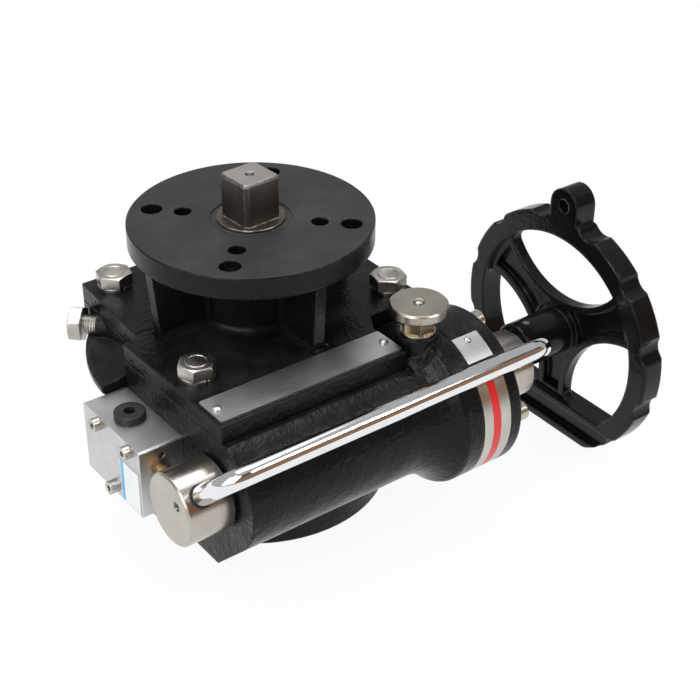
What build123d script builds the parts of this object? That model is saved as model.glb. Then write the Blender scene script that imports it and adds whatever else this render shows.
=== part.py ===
# Declutchable worm gear operator for a quarter-turn valve.
# Units are millimetres, Z is up.  The origin is the centre of the bottom mounting
# face, X runs along the worm towards the handwheel, and -Y is the worm side.
from build123d import *
from math import acos, asin, atan2, cos, degrees, pi, radians, sin, sqrt, tan
import os

os.makedirs("parts", exist_ok=True)


def save(part, name, color):
    part.label = name
    part.color = Color(*color)
    export_step(part, "parts/" + name + ".step")


BLACK = (0.03, 0.03, 0.03)
STEEL = (0.70, 0.69, 0.66)
CHROME = (0.86, 0.87, 0.88)
NICKEL = (0.76, 0.72, 0.64)
BRASS = (0.72, 0.55, 0.25)
ALU = (0.72, 0.72, 0.73)
IRON = (0.35, 0.34, 0.33)
RUBBER = (0.05, 0.05, 0.05)
FIBRE = (0.30, 0.36, 0.30)
PLATE = (0.80, 0.80, 0.78)

# ---------------------------------------------------------------- driving sizes
gap = 0.05                 # radial clearance of every plain fit
free = 0.3                 # clearance beside moving pieces

# mounting interfaces
top_face_z = 153.0         # from the bottom mounting face to the top one
top_flange_r = 62.5
top_flange_t = 11.5
base_flange_r = 70.5
base_flange_t = 16.5
large_circle_r = 51.0      # bolt circle of 102 mm
small_circle_r = 35.0      # bolt circle of 70 mm
large_hole_r = 5.5
small_hole_r = 4.5
large_tap_r = 4.25
small_tap_r = 3.4
bolt_angles = [45, 135, 225, 315]

# worm and wheel
module = 2.5
wheel_teeth = 46
worm_pitch_r = 13.9
tooth_clearance = 0.6
backlash = 0.7
worm_z = 66.7
wheel_pitch_r = module * wheel_teeth / 2
centre_distance = wheel_pitch_r + worm_pitch_r
worm_y = -centre_distance
wheel_tip_r = wheel_pitch_r + module
wheel_root_r = wheel_pitch_r - module - tooth_clearance
worm_tip_r = worm_pitch_r + module
worm_root_r = worm_pitch_r - module - tooth_clearance
worm_pitch = pi * module
lead_angle = degrees(atan2(worm_pitch, 2 * pi * worm_pitch_r))
wheel_face = 18.0
worm_thread_turns = 6
worm_thread_len = worm_thread_turns * worm_pitch

# eccentric sleeve
eccentricity = 7.05
eccentric_angle = 31.7     # of the worm about the sleeve, from +Y towards +Z
tube_y = worm_y - eccentricity * cos(radians(eccentric_angle))
tube_z = worm_z - eccentricity * sin(radians(eccentric_angle))
sleeve_r = 25.5
lever_travel = 110.0

# output travel
travel_past_closed = 4.0   # from rest back to the closed stop
quarter_turn = 90.0
wheel_mid_turn = quarter_turn / 2 - travel_past_closed

# gear case
joint_z = 93.0
gasket_t = 0.5
cover_top_z = 103.0
end_face_x = -74.5
case_right_x = 76.0
case_front_y = -84.0
case_step_y = 5.0
case_rear_y = 70.0
case_side_x = 66.0
case_rear_side_x = 62.0
tube_r = 31.5
tube_bore_r = sleeve_r + gap
foot_edge_y = -75.5
tube_wall_x = -66.0        # inner face of the blind end of the tube
tube_flange_r = 43.0
tube_flange_x = 47.0
tube_face_x = 56.7
case_wall = 5.3
chamber_r = wheel_tip_r + 1.2
chamber_floor_z = 50.0
chamber_rear_y = 42.0
hub_room_r = 36.0
neck_r = 44.0
void_top_z = 42.0
rim_r = 88.0
rim_z = 76.0
rim_t = 6.0

# shaft
stem_r = 17.25
shaft_r = 21.0
square_af = 22.0
square_corner_r = 14.2
square_h = 23.6
square_depth = 26.0
shoulder_z = 50.0
shaft_bottom_z = 1.5

# cover fasteners: three seen corners and the one behind the pedestal
cover_bolts_xy = [(-49.5, 57.0), (-60.5, -41.6), (64.9, -30.0), (49.5, 57.0)]
cover_bolt_r = 5.0
cover_bolt_af = 17.0
cover_bolt_head = 6.6
spring_washer_r = 9.0
spring_washer_t = 2.2
cover_bolt_reach = 15.0

# lever
knob_r = 18.8
knob_x = -100.5
knob_len = 25.0
journal_r = 12.5
sleeve_end_r = 18.0
sleeve_end_x = 114.0
rod_r = 5.0
rod_throw = 50.5
rod_angle = 137.0
rod_left_x = -91.0
rod_right_x = 103.5
rod_bend_r = 13.0

# end ring and cover
ring_t = 17.2
cover_plate_t = 7.6
ring_x = tube_face_x
end_cover_x = ring_x + ring_t
end_cover_face_x = end_cover_x + cover_plate_t
end_screw_circle_r = tube_flange_r - 6.5
hood_from = -10.0
hood_to = 134.0

# index plunger
plunger_x = 46.5
plunger_boss_r = 11.0
plunger_seat_z = tube_z + tube_flange_r + 1.5
plunger_pull = 5.0
plunger_thread_r = 6.0
plunger_pin_r = 4.0
plunger_disc_r = 14.9
plunger_disc_t = 5.4
plunger_disc_z = plunger_seat_z + 11.1
end_screw_r = 3.0
end_screw_grip = 4.5

# valve
valve_l = 24.4
valve_w = 54.0
valve_h = 39.0
valve_y0 = -48.3
valve_z0 = 38.4
valve_stroke = 2.0
valve_x1 = end_face_x
valve_screws_yz = [(-9.5, 73.3), (-38.5, 73.3), (-21.5, 42.3)]
valve_screw_r = 2.0
valve_axis_x = -87.0
cam_r = 16.6

# handwheel
wheel_near_x = 148.0
wheel_rim_t = 13.5
wheel_r = 69.0
wheel_rim_w = 11.5
wheel_inner_r = wheel_r - wheel_rim_w
wheel_hub_r = 13.0
wheel_hub_x = 119.5
wheel_flat = wheel_r - 8.5
wheel_flat_inner = wheel_flat - 19.5
notch_depth = 10.0
wheel_web_x = wheel_near_x + 2.5
wheel_web_t = 6.5
rib_w = 4.0
channel_depth = 3.5
window_r = wheel_r - 21.0
window_throw = wheel_r - 2.0
spoke_angles = [30, 150, 270]
lug_r = 9.7
lug_throw = wheel_r + 7.5
shaft_stub_r = 7.0

# stop bolts
stop_flat = 55.0
stop_offset = 7.0
stop_z = 85.5
stop_lug_top_z = 91.0
stop_head_at = rim_r + 2.4 - sqrt(stop_flat ** 2 + stop_offset ** 2)
stop_shank_shown = 7.9563
stop_boss_from = 8.0
stop_boss_len = stop_head_at - stop_shank_shown - stop_boss_from

# shaft bushes and seals
lower_bush_z = 22.0
lower_bush_h = 24.0
lower_seal_z = 12.0
lower_seal_h = 6.0
upper_bush_z = 112.0
upper_bush_h = 34.0
upper_seal_h = 5.4
upper_seal_z = top_face_z - 0.6 - upper_seal_h


def on_worm(x):
    return Plane(origin=(x, worm_y, worm_z), x_dir=(0, 1, 0), z_dir=(1, 0, 0))


def on_tube(x):
    return Plane(origin=(x, tube_y, tube_z), x_dir=(0, 1, 0), z_dir=(1, 0, 0))


def polar(r, angle):
    return (r * cos(radians(angle)), r * sin(radians(angle)))


def case_outline():
    # plan of the cover joint, cut away in front for the tube flange and plunger
    return [
        (-case_rear_side_x, case_rear_y),
        (-case_side_x, case_step_y),
        (end_face_x, case_step_y),
        (end_face_x, case_front_y),
        (plunger_x - plunger_boss_r - 1, case_front_y),
        (plunger_x - plunger_boss_r - 1, tube_y + 20),
        (plunger_x - plunger_boss_r + 6, tube_y + 31.5),
        (case_right_x, tube_y + 31.5),
        (case_right_x, case_step_y),
        (case_side_x, case_step_y),
        (case_rear_side_x, case_rear_y),
    ]


def hex_bar(af, height):
    # hexagon with its corners turned off at the free end
    with BuildPart() as bar:
        with BuildSketch():
            RegularPolygon(af / 2, 6, major_radius=False)
        extrude(amount=height)
        with BuildSketch(Plane.XZ):
            with BuildLine():
                Polyline((0, 0), (af * 0.62, 0), (af * 0.62, height * 0.86),
                         (af * 0.475, height), (0, height), close=True)
            make_face()
        revolve(axis=Axis.Z, mode=Mode.INTERSECT)
    return bar.part


# ------------------------------------------------------------------- gear case
drum_r = chamber_r + case_wall
stop_dir = (-sin(radians(45)), cos(radians(45)))


def stop_plane(side, along):
    # plane square to a stop bolt; side -1 is the rear left bolt, +1 the rear right
    ux, uy = side * sin(radians(45)), cos(radians(45))
    tip_x = side * (stop_flat * sin(radians(45)) + stop_offset * sin(radians(45)))
    tip_y = stop_flat * cos(radians(45)) - stop_offset * cos(radians(45))
    return Plane(origin=(tip_x + ux * along, tip_y + uy * along, stop_z),
                 x_dir=(0, 0, 1), z_dir=(ux, uy, 0))


slope = sqrt(0.5)
with BuildPart() as gear_case:
    # worm housing: round tube standing on a sloped foot, closed by flat end faces
    with BuildSketch(Plane(origin=(end_face_x, 0, 0), x_dir=(0, 1, 0), z_dir=(1, 0, 0))):
        with BuildLine():
            Polyline((tube_y - tube_r * slope, tube_z - tube_r * slope),
                     (foot_edge_y, base_flange_t), (case_step_y, base_flange_t),
                     (case_step_y, joint_z), (case_front_y, joint_z),
                     (tube_y, tube_z), close=True)
        make_face()
        with Locations((tube_y, tube_z)):
            Circle(tube_r)
        with BuildLine():
            Polyline((-110, joint_z), (-20, joint_z), (-20, 110), (-110, 110), close=True)
        make_face(mode=Mode.SUBTRACT)
    extrude(amount=tube_flange_x - end_face_x)
    # open room under the gear chamber
    with Locations((6.5, 10, (base_flange_t + void_top_z) / 2)):
        Box(137, 148, void_top_z - base_flange_t, mode=Mode.SUBTRACT)
    # gear chamber, its square top and its flared rim
    with Locations((0, 0, void_top_z)):
        Cylinder(drum_r, joint_z - void_top_z,
                 align=(Align.CENTER, Align.CENTER, Align.MIN))
    with BuildSketch(Plane.XY.offset(rim_z + rim_t - 2)):
        with BuildLine():
            Polyline(*case_outline(), close=True)
        make_face()
    extrude(amount=joint_z - rim_z - rim_t + 2)
    with BuildPart(mode=Mode.PRIVATE) as rim:
        with BuildSketch(Plane.XZ):
            with BuildLine():
                l1 = Polyline((40, rim_z), (rim_r - 2, rim_z), (rim_r, rim_z + 2),
                              (rim_r, rim_z + rim_t - 1), (rim_r - 2, rim_z + rim_t))
                l2 = ThreePointArc(l1 @ 1, (case_side_x + 8, rim_z + rim_t + 2.2),
                                   (case_side_x + 1, joint_z - 3.5))
                Polyline(l2 @ 1, (40, joint_z - 3.5), l1 @ 0)
            make_face()
        revolve(axis=Axis.Z)
        with Locations((-6, case_step_y - 99, rim_z)):
            Box(260, 200, 60, mode=Mode.SUBTRACT)
        with Locations((case_right_x + 50, 0, rim_z)):
            Box(100, 200, 60, mode=Mode.SUBTRACT)
        with Locations((0, 78 + 20, rim_z)):
            Box(260, 40, 60, mode=Mode.SUBTRACT)
    add(rim.part)
    # neck and bottom mounting flange
    with Locations((0, 0, base_flange_t)):
        Cylinder(neck_r, void_top_z - base_flange_t + 1,
                 align=(Align.CENTER, Align.CENTER, Align.MIN))
    Cylinder(base_flange_r, base_flange_t, align=(Align.CENTER, Align.CENTER, Align.MIN))
    # tube end: flared into the round flange that carries the ring
    with BuildSketch(Plane(origin=(0, tube_y, tube_z), x_dir=(1, 0, 0), z_dir=(0, 1, 0))):
        with BuildLine():
            f1 = Line((10, 0), (10, tube_r - 4))
            f2 = Line(f1 @ 1, (22, tube_r))
            f3 = ThreePointArc(f2 @ 1, (36, tube_r + 3.2), (tube_flange_x - 3, tube_flange_r - 2))
            f4 = ThreePointArc(f3 @ 1, (tube_flange_x - 1.2, tube_flange_r - 0.4),
                               (tube_flange_x + 1.5, tube_flange_r))
            f5 = Line(f4 @ 1, (tube_face_x, tube_flange_r))
            f6 = Line(f5 @ 1, (tube_face_x, 0))
            Line(f6 @ 1, f1 @ 0)
        make_face()
    revolve(axis=Axis((0, tube_y, tube_z), (1, 0, 0)))
    with Locations((plunger_x - plunger_boss_r - 51, tube_y, joint_z)):
        Box(100, 100, 10, align=(Align.CENTER, Align.CENTER, Align.MIN), mode=Mode.SUBTRACT)
    # boss for the index plunger
    with Locations((plunger_x, tube_y, tube_z)):
        Cylinder(plunger_boss_r, plunger_seat_z - tube_z,
                 align=(Align.CENTER, Align.CENTER, Align.MIN))
    # bosses of the stop bolts on the two rear corners
    for side in (-1, 1):
        with BuildSketch(stop_plane(side, stop_boss_from)):
            Circle(7.4)
        extrude(amount=stop_boss_len)
    # room for the ring and its hood beside the square top
    with BuildSketch(on_tube(tube_face_x)):
        Circle(tube_flange_r + 0.4)
    extrude(amount=case_right_x - tube_face_x + 1, mode=Mode.SUBTRACT)
    # bores
    with BuildSketch(on_tube(tube_wall_x)):
        Circle(tube_bore_r)
    extrude(amount=tube_face_x - tube_wall_x, mode=Mode.SUBTRACT)
    with BuildSketch(on_tube(end_face_x)):
        Circle(journal_r + gap)
    extrude(amount=tube_wall_x - end_face_x, mode=Mode.SUBTRACT)
    with BuildSketch(Plane.XY.offset(chamber_floor_z)):
        Circle(chamber_r)
        with Locations((0, chamber_rear_y + 50)):
            Rectangle(200, 100, mode=Mode.SUBTRACT)
        Circle(hub_room_r)
        with Locations((0, chamber_rear_y / 2)):
            Rectangle(2 * hub_room_r, chamber_rear_y)
    extrude(amount=joint_z - chamber_floor_z, mode=Mode.SUBTRACT)
    # shaft passage: lower bush seat and seal seat
    Cylinder(shaft_r + 4, chamber_floor_z, align=(Align.CENTER, Align.CENTER, Align.MIN),
             mode=Mode.SUBTRACT)
    # threaded holes: bottom interface, cover, stops, end ring, plunger, valve
    with PolarLocations(large_circle_r, 4, start_angle=45):
        Cylinder(large_tap_r, base_flange_t, align=(Align.CENTER, Align.CENTER, Align.MIN),
                 mode=Mode.SUBTRACT)
    with PolarLocations(small_circle_r, 4, start_angle=45):
        Cylinder(small_tap_r, 15, align=(Align.CENTER, Align.CENTER, Align.MIN),
                 mode=Mode.SUBTRACT)
    with Locations(*[(x, y, joint_z) for x, y in cover_bolts_xy]):
        Cylinder(cover_bolt_r + gap, cover_bolt_reach + 3,
                 align=(Align.CENTER, Align.CENTER, Align.MAX), mode=Mode.SUBTRACT)
    for side in (-1, 1):
        with BuildSketch(stop_plane(side, -6)):
            Circle(cover_bolt_r + gap)
        extrude(amount=60, mode=Mode.SUBTRACT)
    for angle in (0, 90, 180, 270):
        with BuildSketch(on_tube(tube_face_x)):
            with Locations(polar(end_screw_circle_r, angle)):
                Circle(end_screw_r + gap)
        extrude(amount=-end_screw_grip, mode=Mode.SUBTRACT)
    with Locations((plunger_x, tube_y, plunger_seat_z)):
        Cylinder(plunger_thread_r + gap, plunger_seat_z - tube_z, mode=Mode.SUBTRACT,
                 align=(Align.CENTER, Align.CENTER, Align.MAX))
    for y, z in valve_screws_yz:
        with BuildSketch(Plane(origin=(end_face_x, y, z), z_dir=(1, 0, 0))):
            Circle(valve_screw_r + gap)
        extrude(amount=9, mode=Mode.SUBTRACT)
save(gear_case.part, "gear_case", BLACK)

# ------------------------------------------------------------- gasket and cover
with BuildPart() as cover_gasket:
    with BuildSketch(Plane.XY.offset(joint_z)):
        with BuildLine():
            Polyline(*case_outline(), close=True)
        make_face()
        offset(amount=-0.6, kind=Kind.INTERSECTION, mode=Mode.REPLACE)
        with BuildSketch(mode=Mode.SUBTRACT):
            Circle(chamber_r)
            with Locations((0, chamber_rear_y + 50)):
                Rectangle(200, 100, mode=Mode.SUBTRACT)
        with Locations(*cover_bolts_xy):
            Circle(cover_bolt_r + 0.6, mode=Mode.SUBTRACT)
    extrude(amount=gasket_t)
save(cover_gasket.part, "cover_gasket", FIBRE)

web_t = 6.5
web_base_r = 57.5
web_top_r = 60.5
pedestal_r = 30.0
bush_r = 20.5
flange_bottom_z = top_face_z - top_flange_t
with BuildPart() as case_cover:
    with BuildSketch(Plane.XY.offset(joint_z + gasket_t)):
        with BuildLine():
            Polyline(*case_outline(), close=True)
        make_face()
    extrude(amount=cover_top_z - joint_z - gasket_t)
    fillet(case_cover.faces().sort_by(Axis.Z)[-1].edges(), 0.8)
    # pedestal: hub and four webs under the round mounting flange
    with Locations((0, 0, cover_top_z)):
        Cylinder(pedestal_r, flange_bottom_z - cover_top_z,
                 align=(Align.CENTER, Align.CENTER, Align.MIN))
    for plane in (Plane.XZ, Plane.YZ):
        with BuildSketch(plane):
            with BuildLine():
                Polyline((-web_base_r, cover_top_z), (web_base_r, cover_top_z),
                         (web_top_r, flange_bottom_z), (-web_top_r, flange_bottom_z),
                         close=True)
            make_face()
        extrude(amount=web_t / 2, both=True)
    with Locations((0, 0, flange_bottom_z)):
        Cylinder(top_flange_r, top_flange_t, align=(Align.CENTER, Align.CENTER, Align.MIN))
    chamfer(case_cover.faces().sort_by(Axis.Z)[-1].edges(), 0.5)
    # milled spot at the foot of the left web
    with Locations((-web_base_r - 3.5, -1, cover_top_z)):
        Cylinder(11, 0.8, mode=Mode.SUBTRACT)
    # bores and holes
    Cylinder(bush_r + gap, top_face_z, align=(Align.CENTER, Align.CENTER, Align.MIN),
             mode=Mode.SUBTRACT)
    with PolarLocations(large_circle_r, 4, start_angle=45):
        with Locations((0, 0, top_face_z)):
            Cylinder(large_hole_r, top_flange_t, mode=Mode.SUBTRACT,
                     align=(Align.CENTER, Align.CENTER, Align.MAX))
    with PolarLocations(small_circle_r, 4, start_angle=45):
        with Locations((0, 0, top_face_z)):
            Cylinder(small_hole_r, top_flange_t, mode=Mode.SUBTRACT,
                     align=(Align.CENTER, Align.CENTER, Align.MAX))
    with Locations(*[(x, y, cover_top_z) for x, y in cover_bolts_xy]):
        Cylinder(cover_bolt_r + 0.5, 12, align=(Align.CENTER, Align.CENTER, Align.MAX),
                 mode=Mode.SUBTRACT)
save(case_cover.part, "case_cover", BLACK)

# ------------------------------------------------------------ cover fasteners
washer_top = cover_top_z + spring_washer_t
with BuildPart() as cover_bolts:
    for n, (x, y) in enumerate(cover_bolts_xy):
        with Locations(Location((x, y, washer_top), (0, 0, 17 + 31 * n))):
            add(hex_bar(cover_bolt_af, cover_bolt_head))
        with Locations((x, y, washer_top)):
            Cylinder(cover_bolt_r, washer_top - joint_z + cover_bolt_reach,
                     align=(Align.CENTER, Align.CENTER, Align.MAX))
save(cover_bolts.part, "cover_bolts", STEEL)

with BuildPart() as spring_washers:
    for x, y in cover_bolts_xy:
        with Locations((x, y, cover_top_z)):
            Cylinder(spring_washer_r, spring_washer_t,
                     align=(Align.CENTER, Align.CENTER, Align.MIN))
            Cylinder(cover_bolt_r + 0.2, spring_washer_t, mode=Mode.SUBTRACT,
                     align=(Align.CENTER, Align.CENTER, Align.MIN))
        with Locations((x, y - 7.2, cover_top_z + spring_washer_t / 2)):
            Box(1.0, 6.0, spring_washer_t + 1, mode=Mode.SUBTRACT)
save(spring_washers.part, "spring_washers", STEEL)

stop_gap = 0.35
with BuildPart() as stop_bolts:
    for side in (-1, 1):
        with BuildSketch(stop_plane(side, stop_gap)):
            Circle(cover_bolt_r)
        extrude(amount=stop_head_at - stop_gap)
        add(stop_plane(side, stop_head_at).location * hex_bar(cover_bolt_af, 7.0))
save(stop_bolts.part, "stop_bolts", STEEL)

# ------------------------------------------------------------------ drive shaft
with BuildPart() as drive_shaft:
    with Locations((0, 0, shaft_bottom_z)):
        Cylinder(shaft_r, shoulder_z - shaft_bottom_z,
                 align=(Align.CENTER, Align.CENTER, Align.MIN))
    with Locations((0, 0, shoulder_z)):
        Cylinder(stem_r, top_face_z + 0.8 - shoulder_z,
                 align=(Align.CENTER, Align.CENTER, Align.MIN))
    with BuildSketch(Plane.XY.offset(top_face_z + 0.8)):
        Rectangle(square_af, square_af, rotation=travel_past_closed)
        Circle(square_corner_r, mode=Mode.INTERSECT)
    extrude(amount=square_h - 0.8)
    chamfer(drive_shaft.faces().sort_by(Axis.Z)[-1].edges(), 0.9)
    with Locations((0, 0, top_face_z + square_h)):
        Cone(0.4, 2.4, 2.0, align=(Align.CENTER, Align.CENTER, Align.MAX), mode=Mode.SUBTRACT)
    with BuildSketch(Plane.XY.offset(shaft_bottom_z)):
        Rectangle(square_af + 0.2, square_af + 0.2, rotation=travel_past_closed)
        Circle(square_corner_r + 0.3, mode=Mode.INTERSECT)
    extrude(amount=square_depth, mode=Mode.SUBTRACT)
    for side in (-1, 1):
        with Locations((side * stem_r, 0, shoulder_z + 15)):
            Box(8, 8, 24, mode=Mode.SUBTRACT)
save(drive_shaft.part, "drive_shaft", IRON)

with BuildPart() as shaft_keys:
    for side in (-1, 1):
        with Locations((side * (stem_r - 0.5), 0, shoulder_z + 15)):
            Box(7 - 2 * gap, 8 - 2 * gap, 24 - 2 * gap)
save(shaft_keys.part, "shaft_keys", IRON)


def ring(outer, inner, z0, height):
    with BuildPart() as body:
        with Locations((0, 0, z0)):
            Cylinder(outer, height, align=(Align.CENTER, Align.CENTER, Align.MIN))
            Cylinder(inner, height, align=(Align.CENTER, Align.CENTER, Align.MIN),
                     mode=Mode.SUBTRACT)
    return body.part


save(ring(shaft_r + 4 - gap, shaft_r + gap, lower_bush_z, lower_bush_h), "lower_shaft_bush", BRASS)
save(ring(shaft_r + 4 - gap, shaft_r + gap, lower_seal_z, lower_seal_h), "lower_shaft_seal", RUBBER)
save(ring(bush_r, stem_r + gap, upper_bush_z, upper_bush_h), "upper_shaft_bush", BRASS)
save(ring(bush_r, stem_r + gap, upper_seal_z, upper_seal_h), "upper_shaft_seal", RUBBER)

# ------------------------------------------------------------------- worm wheel
tooth_step = 360 / wheel_teeth
first_gap = -90 + wheel_mid_turn
half_tooth = degrees((pi * module / 2 - backlash) / 2 / wheel_pitch_r)
flank = tan(radians(20))
toothed_half = 61.0


def tooth_half_at(r):
    return half_tooth - degrees((r - wheel_pitch_r) * flank / r)


def sector_outline(twist):
    # toothed arc facing the worm, closed towards the hub
    low, high = -90 - toothed_half, -90 + toothed_half
    n0 = int((low - first_gap) / tooth_step) + 1
    points = []
    n = n0
    while True:
        mid = first_gap + (n + 0.5) * tooth_step
        if mid + tooth_step / 2 > high:
            break
        root_w = tooth_half_at(wheel_root_r)
        tip_w = tooth_half_at(wheel_tip_r)
        for r, a in ((wheel_root_r, mid - root_w), (wheel_tip_r, mid - tip_w),
                     (wheel_tip_r, mid + tip_w), (wheel_root_r, mid + root_w)):
            points.append(polar(r, a + twist))
        n += 1
    points.append(polar(wheel_root_r - 8, -90 + toothed_half))
    points.append(polar(wheel_root_r - 8, -90))
    points.append(polar(wheel_root_r - 8, -90 - toothed_half))
    return points


wheel_z0 = worm_z - wheel_face / 2
twist_half = degrees(wheel_face / 2 * tan(radians(lead_angle)) / wheel_pitch_r)
with BuildPart() as worm_wheel:
    with BuildSketch(Plane.XY.offset(wheel_z0)):
        with BuildLine():
            Polyline(*sector_outline(-twist_half), close=True)
        make_face()
    with BuildSketch(Plane.XY.offset(wheel_z0 + wheel_face)):
        with BuildLine():
            Polyline(*sector_outline(twist_half), close=True)
        make_face()
    loft(ruled=True)
    with BuildSketch(Plane.XY.offset(wheel_z0)):
        Circle(wheel_root_r - 1.0)
        Circle(wheel_root_r - 12, mode=Mode.SUBTRACT)
        with Locations((0, 54)):
            Rectangle(200, 100, mode=Mode.SUBTRACT)
        for side in (-1, 1):
            with Locations((side * (stop_flat - 8), -8)):
                Rectangle(16, 24)
    extrude(amount=wheel_face)
    with BuildSketch(Plane.XY.offset(wheel_z0 + 3)):
        Circle(wheel_root_r - 6)
        with Locations((0, 54)):
            Rectangle(200, 100, mode=Mode.SUBTRACT)
    extrude(amount=wheel_face - 6)
    with Locations((0, 0, shoulder_z)):
        Cylinder(30, 30, align=(Align.CENTER, Align.CENTER, Align.MIN))
    for side in (-1, 1):
        with Locations((side * (stop_flat - 4.5), -9, wheel_z0 + wheel_face)):
            Box(9, 20, stop_lug_top_z - wheel_z0 - wheel_face,
                align=(Align.CENTER, Align.CENTER, Align.MIN))
    with Locations((0, 0, shoulder_z)):
        Cylinder(stem_r + gap, 40, align=(Align.CENTER, Align.CENTER, Align.MIN),
                 mode=Mode.SUBTRACT)
wheel_solid = Rot(0, 0, -wheel_mid_turn) * worm_wheel.part
with BuildPart() as worm_wheel_keyed:
    add(wheel_solid)
    for side in (-1, 1):
        with Locations((side * stem_r, 0, shoulder_z + 15)):
            Box(8, 8, 30.2, mode=Mode.SUBTRACT)
save(worm_wheel_keyed.part, "worm_wheel", BRASS)


# ------------------------------------------------- input shaft, worm and sleeve
input_shaft_r = 8.0
input_shaft_x0 = -55.0
input_step_x = 116.0
input_shaft_x1 = wheel_near_x + 10.5
bush_outer_r = 11.0
worm_half = 31.0
window_half = 32.0
pin_r = 2.0
sleeve_x0 = tube_wall_x + free
sleeve_x1 = end_cover_x - free
journal_x0 = knob_x + knob_len - 8.0
worm_off = polar(eccentricity, eccentric_angle)


def sector(r0, r1, a0, a1):
    # flat piece of a ring between two radii and two angles
    with BuildSketch() as region:
        with BuildLine():
            inner = CenterArc((0, 0), r0, a0, a1 - a0)
            outer = CenterArc((0, 0), r1, a0, a1 - a0)
            Line(inner @ 0, outer @ 0)
            Line(inner @ 1, outer @ 1)
        make_face()
    return region.sketch


def bar(plane_at, x0, x1, r):
    # round bar or hole filler along the worm or the sleeve axis
    with BuildPart() as body:
        with BuildSketch(plane_at(x0)):
            Circle(r)
        extrude(amount=x1 - x0)
    return body.part


def tube(plane_at, x0, x1, r1, r0):
    return bar(plane_at, x0, x1, r1) - bar(plane_at, x0, x1, r0)


# worm thread: trapezium of the basic rack swept along a right-hand helix
tip_half = (pi * module / 4 - module * flank) * cos(radians(lead_angle))
root_half = (pi * module / 4 + (module + tooth_clearance) * flank) * cos(radians(lead_angle))
with BuildPart() as worm_local:
    with BuildLine() as thread_path:
        Helix(worm_pitch, worm_thread_len, worm_pitch_r, center=(0, 0, -worm_thread_len / 2))
    with BuildSketch(Plane(origin=thread_path.line @ 0, x_dir=(1, 0, 0),
                           z_dir=thread_path.line % 0)):
        with BuildLine():
            Polyline((worm_root_r - worm_pitch_r - 0.3, -root_half),
                     (worm_root_r - worm_pitch_r, -root_half), (module, -tip_half),
                     (module, tip_half), (worm_root_r - worm_pitch_r, root_half),
                     (worm_root_r - worm_pitch_r - 0.3, root_half), close=True)
        make_face()
    sweep(path=thread_path.line, is_frenet=True)
    Cylinder(worm_root_r, 2 * worm_half)
    Cylinder(input_shaft_r + gap, 2 * worm_half, mode=Mode.SUBTRACT)
    with Locations(Location((0, 0, worm_half - 2.6), (90, 0, 0))):
        Cylinder(pin_r, 4 * worm_root_r, mode=Mode.SUBTRACT)
worm_solid = on_worm(0).location * worm_local.part
save(worm_solid, "worm", STEEL)

pin_x = worm_half - 2.6
with BuildPart() as worm_pin:
    with BuildSketch(Plane(origin=(pin_x, worm_y, worm_z), z_dir=(0, 0, 1))):
        Circle(pin_r - gap)
    extrude(amount=worm_root_r - 0.2, both=True)
save(worm_pin.part, "worm_pin", STEEL)

hub_pin_x = wheel_hub_x + 8
with BuildPart() as input_shaft:
    add(bar(on_worm, input_shaft_x0, input_step_x, input_shaft_r))
    add(bar(on_worm, input_step_x, input_shaft_x1, shaft_stub_r))
    for x in (pin_x, hub_pin_x):
        with BuildSketch(Plane(origin=(x, worm_y, worm_z), z_dir=(0, 0, 1))):
            Circle(pin_r)
        extrude(amount=20, both=True, mode=Mode.SUBTRACT)
    with BuildSketch(on_worm(input_shaft_x1)):
        Circle(2.5)
    extrude(amount=-14, mode=Mode.SUBTRACT)
save(input_shaft.part, "input_shaft", STEEL)

with BuildPart() as input_bushes:
    add(tube(on_worm, -58, -window_half - 0.5, bush_outer_r, input_shaft_r + gap))
    add(tube(on_worm, window_half + 0.5, 64, bush_outer_r, input_shaft_r + gap))
save(input_bushes.part, "input_bushes", BRASS)
save(tube(on_worm, 66, 72, bush_outer_r, input_shaft_r + gap), "input_seal", RUBBER)

slot_floor_r = 20.0
slot_half_angle = 12.0
with BuildPart() as eccentric_sleeve:
    add(bar(on_tube, sleeve_x0, sleeve_x1, sleeve_r))
    add(bar(on_tube, journal_x0, sleeve_x0, journal_r))
    add(bar(on_tube, sleeve_x1, sleeve_end_x, sleeve_end_r))
    chamfer(eccentric_sleeve.faces().sort_by(Axis.X)[-1].edges(), 1.2)
    # open side towards the wheel, with a trough round the worm
    with BuildSketch(on_tube(-window_half)):
        with Locations(polar(40, -45)):
            Rectangle(80, 120, rotation=-45)
        with Locations(worm_off):
            Circle(worm_tip_r + 0.8)
    extrude(amount=2 * window_half, mode=Mode.SUBTRACT)
    # eccentric bores
    add(bar(on_worm, -58.5, sleeve_x1 - 1, bush_outer_r + gap), mode=Mode.SUBTRACT)
    add(bar(on_worm, 60, sleeve_end_x, input_shaft_r + 0.4), mode=Mode.SUBTRACT)
    # slot of the index plunger and hole of the rod leg
    with BuildSketch(on_tube(plunger_x - plunger_pin_r - free)):
        add(sector(slot_floor_r, sleeve_r + 1, 90 - lever_travel - slot_half_angle,
                   90 + slot_half_angle))
    extrude(amount=2 * (plunger_pin_r + free), mode=Mode.SUBTRACT)
    with BuildSketch(Plane(origin=(rod_right_x, tube_y, tube_z),
                           x_dir=(1, 0, 0),
                           z_dir=(0, cos(radians(rod_angle)), sin(radians(rod_angle)))
                           ).offset(sleeve_end_r / 2)):
        Circle(rod_r + gap)
    extrude(amount=sleeve_end_r, mode=Mode.SUBTRACT)
    with BuildSketch(on_tube(sleeve_end_x)):
        with Locations(polar(13, rod_angle)):
            Circle(2.5)
    extrude(amount=rod_right_x - sleeve_end_x + rod_r, mode=Mode.SUBTRACT)
save(eccentric_sleeve.part, "eccentric_sleeve", NICKEL)

# ------------------------------------------------------------------ lever knob


def along_rod(x, r):
    # point on the plane of the bent rod
    return (x, tube_y + r * cos(radians(rod_angle)), tube_z + r * sin(radians(rod_angle)))


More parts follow.
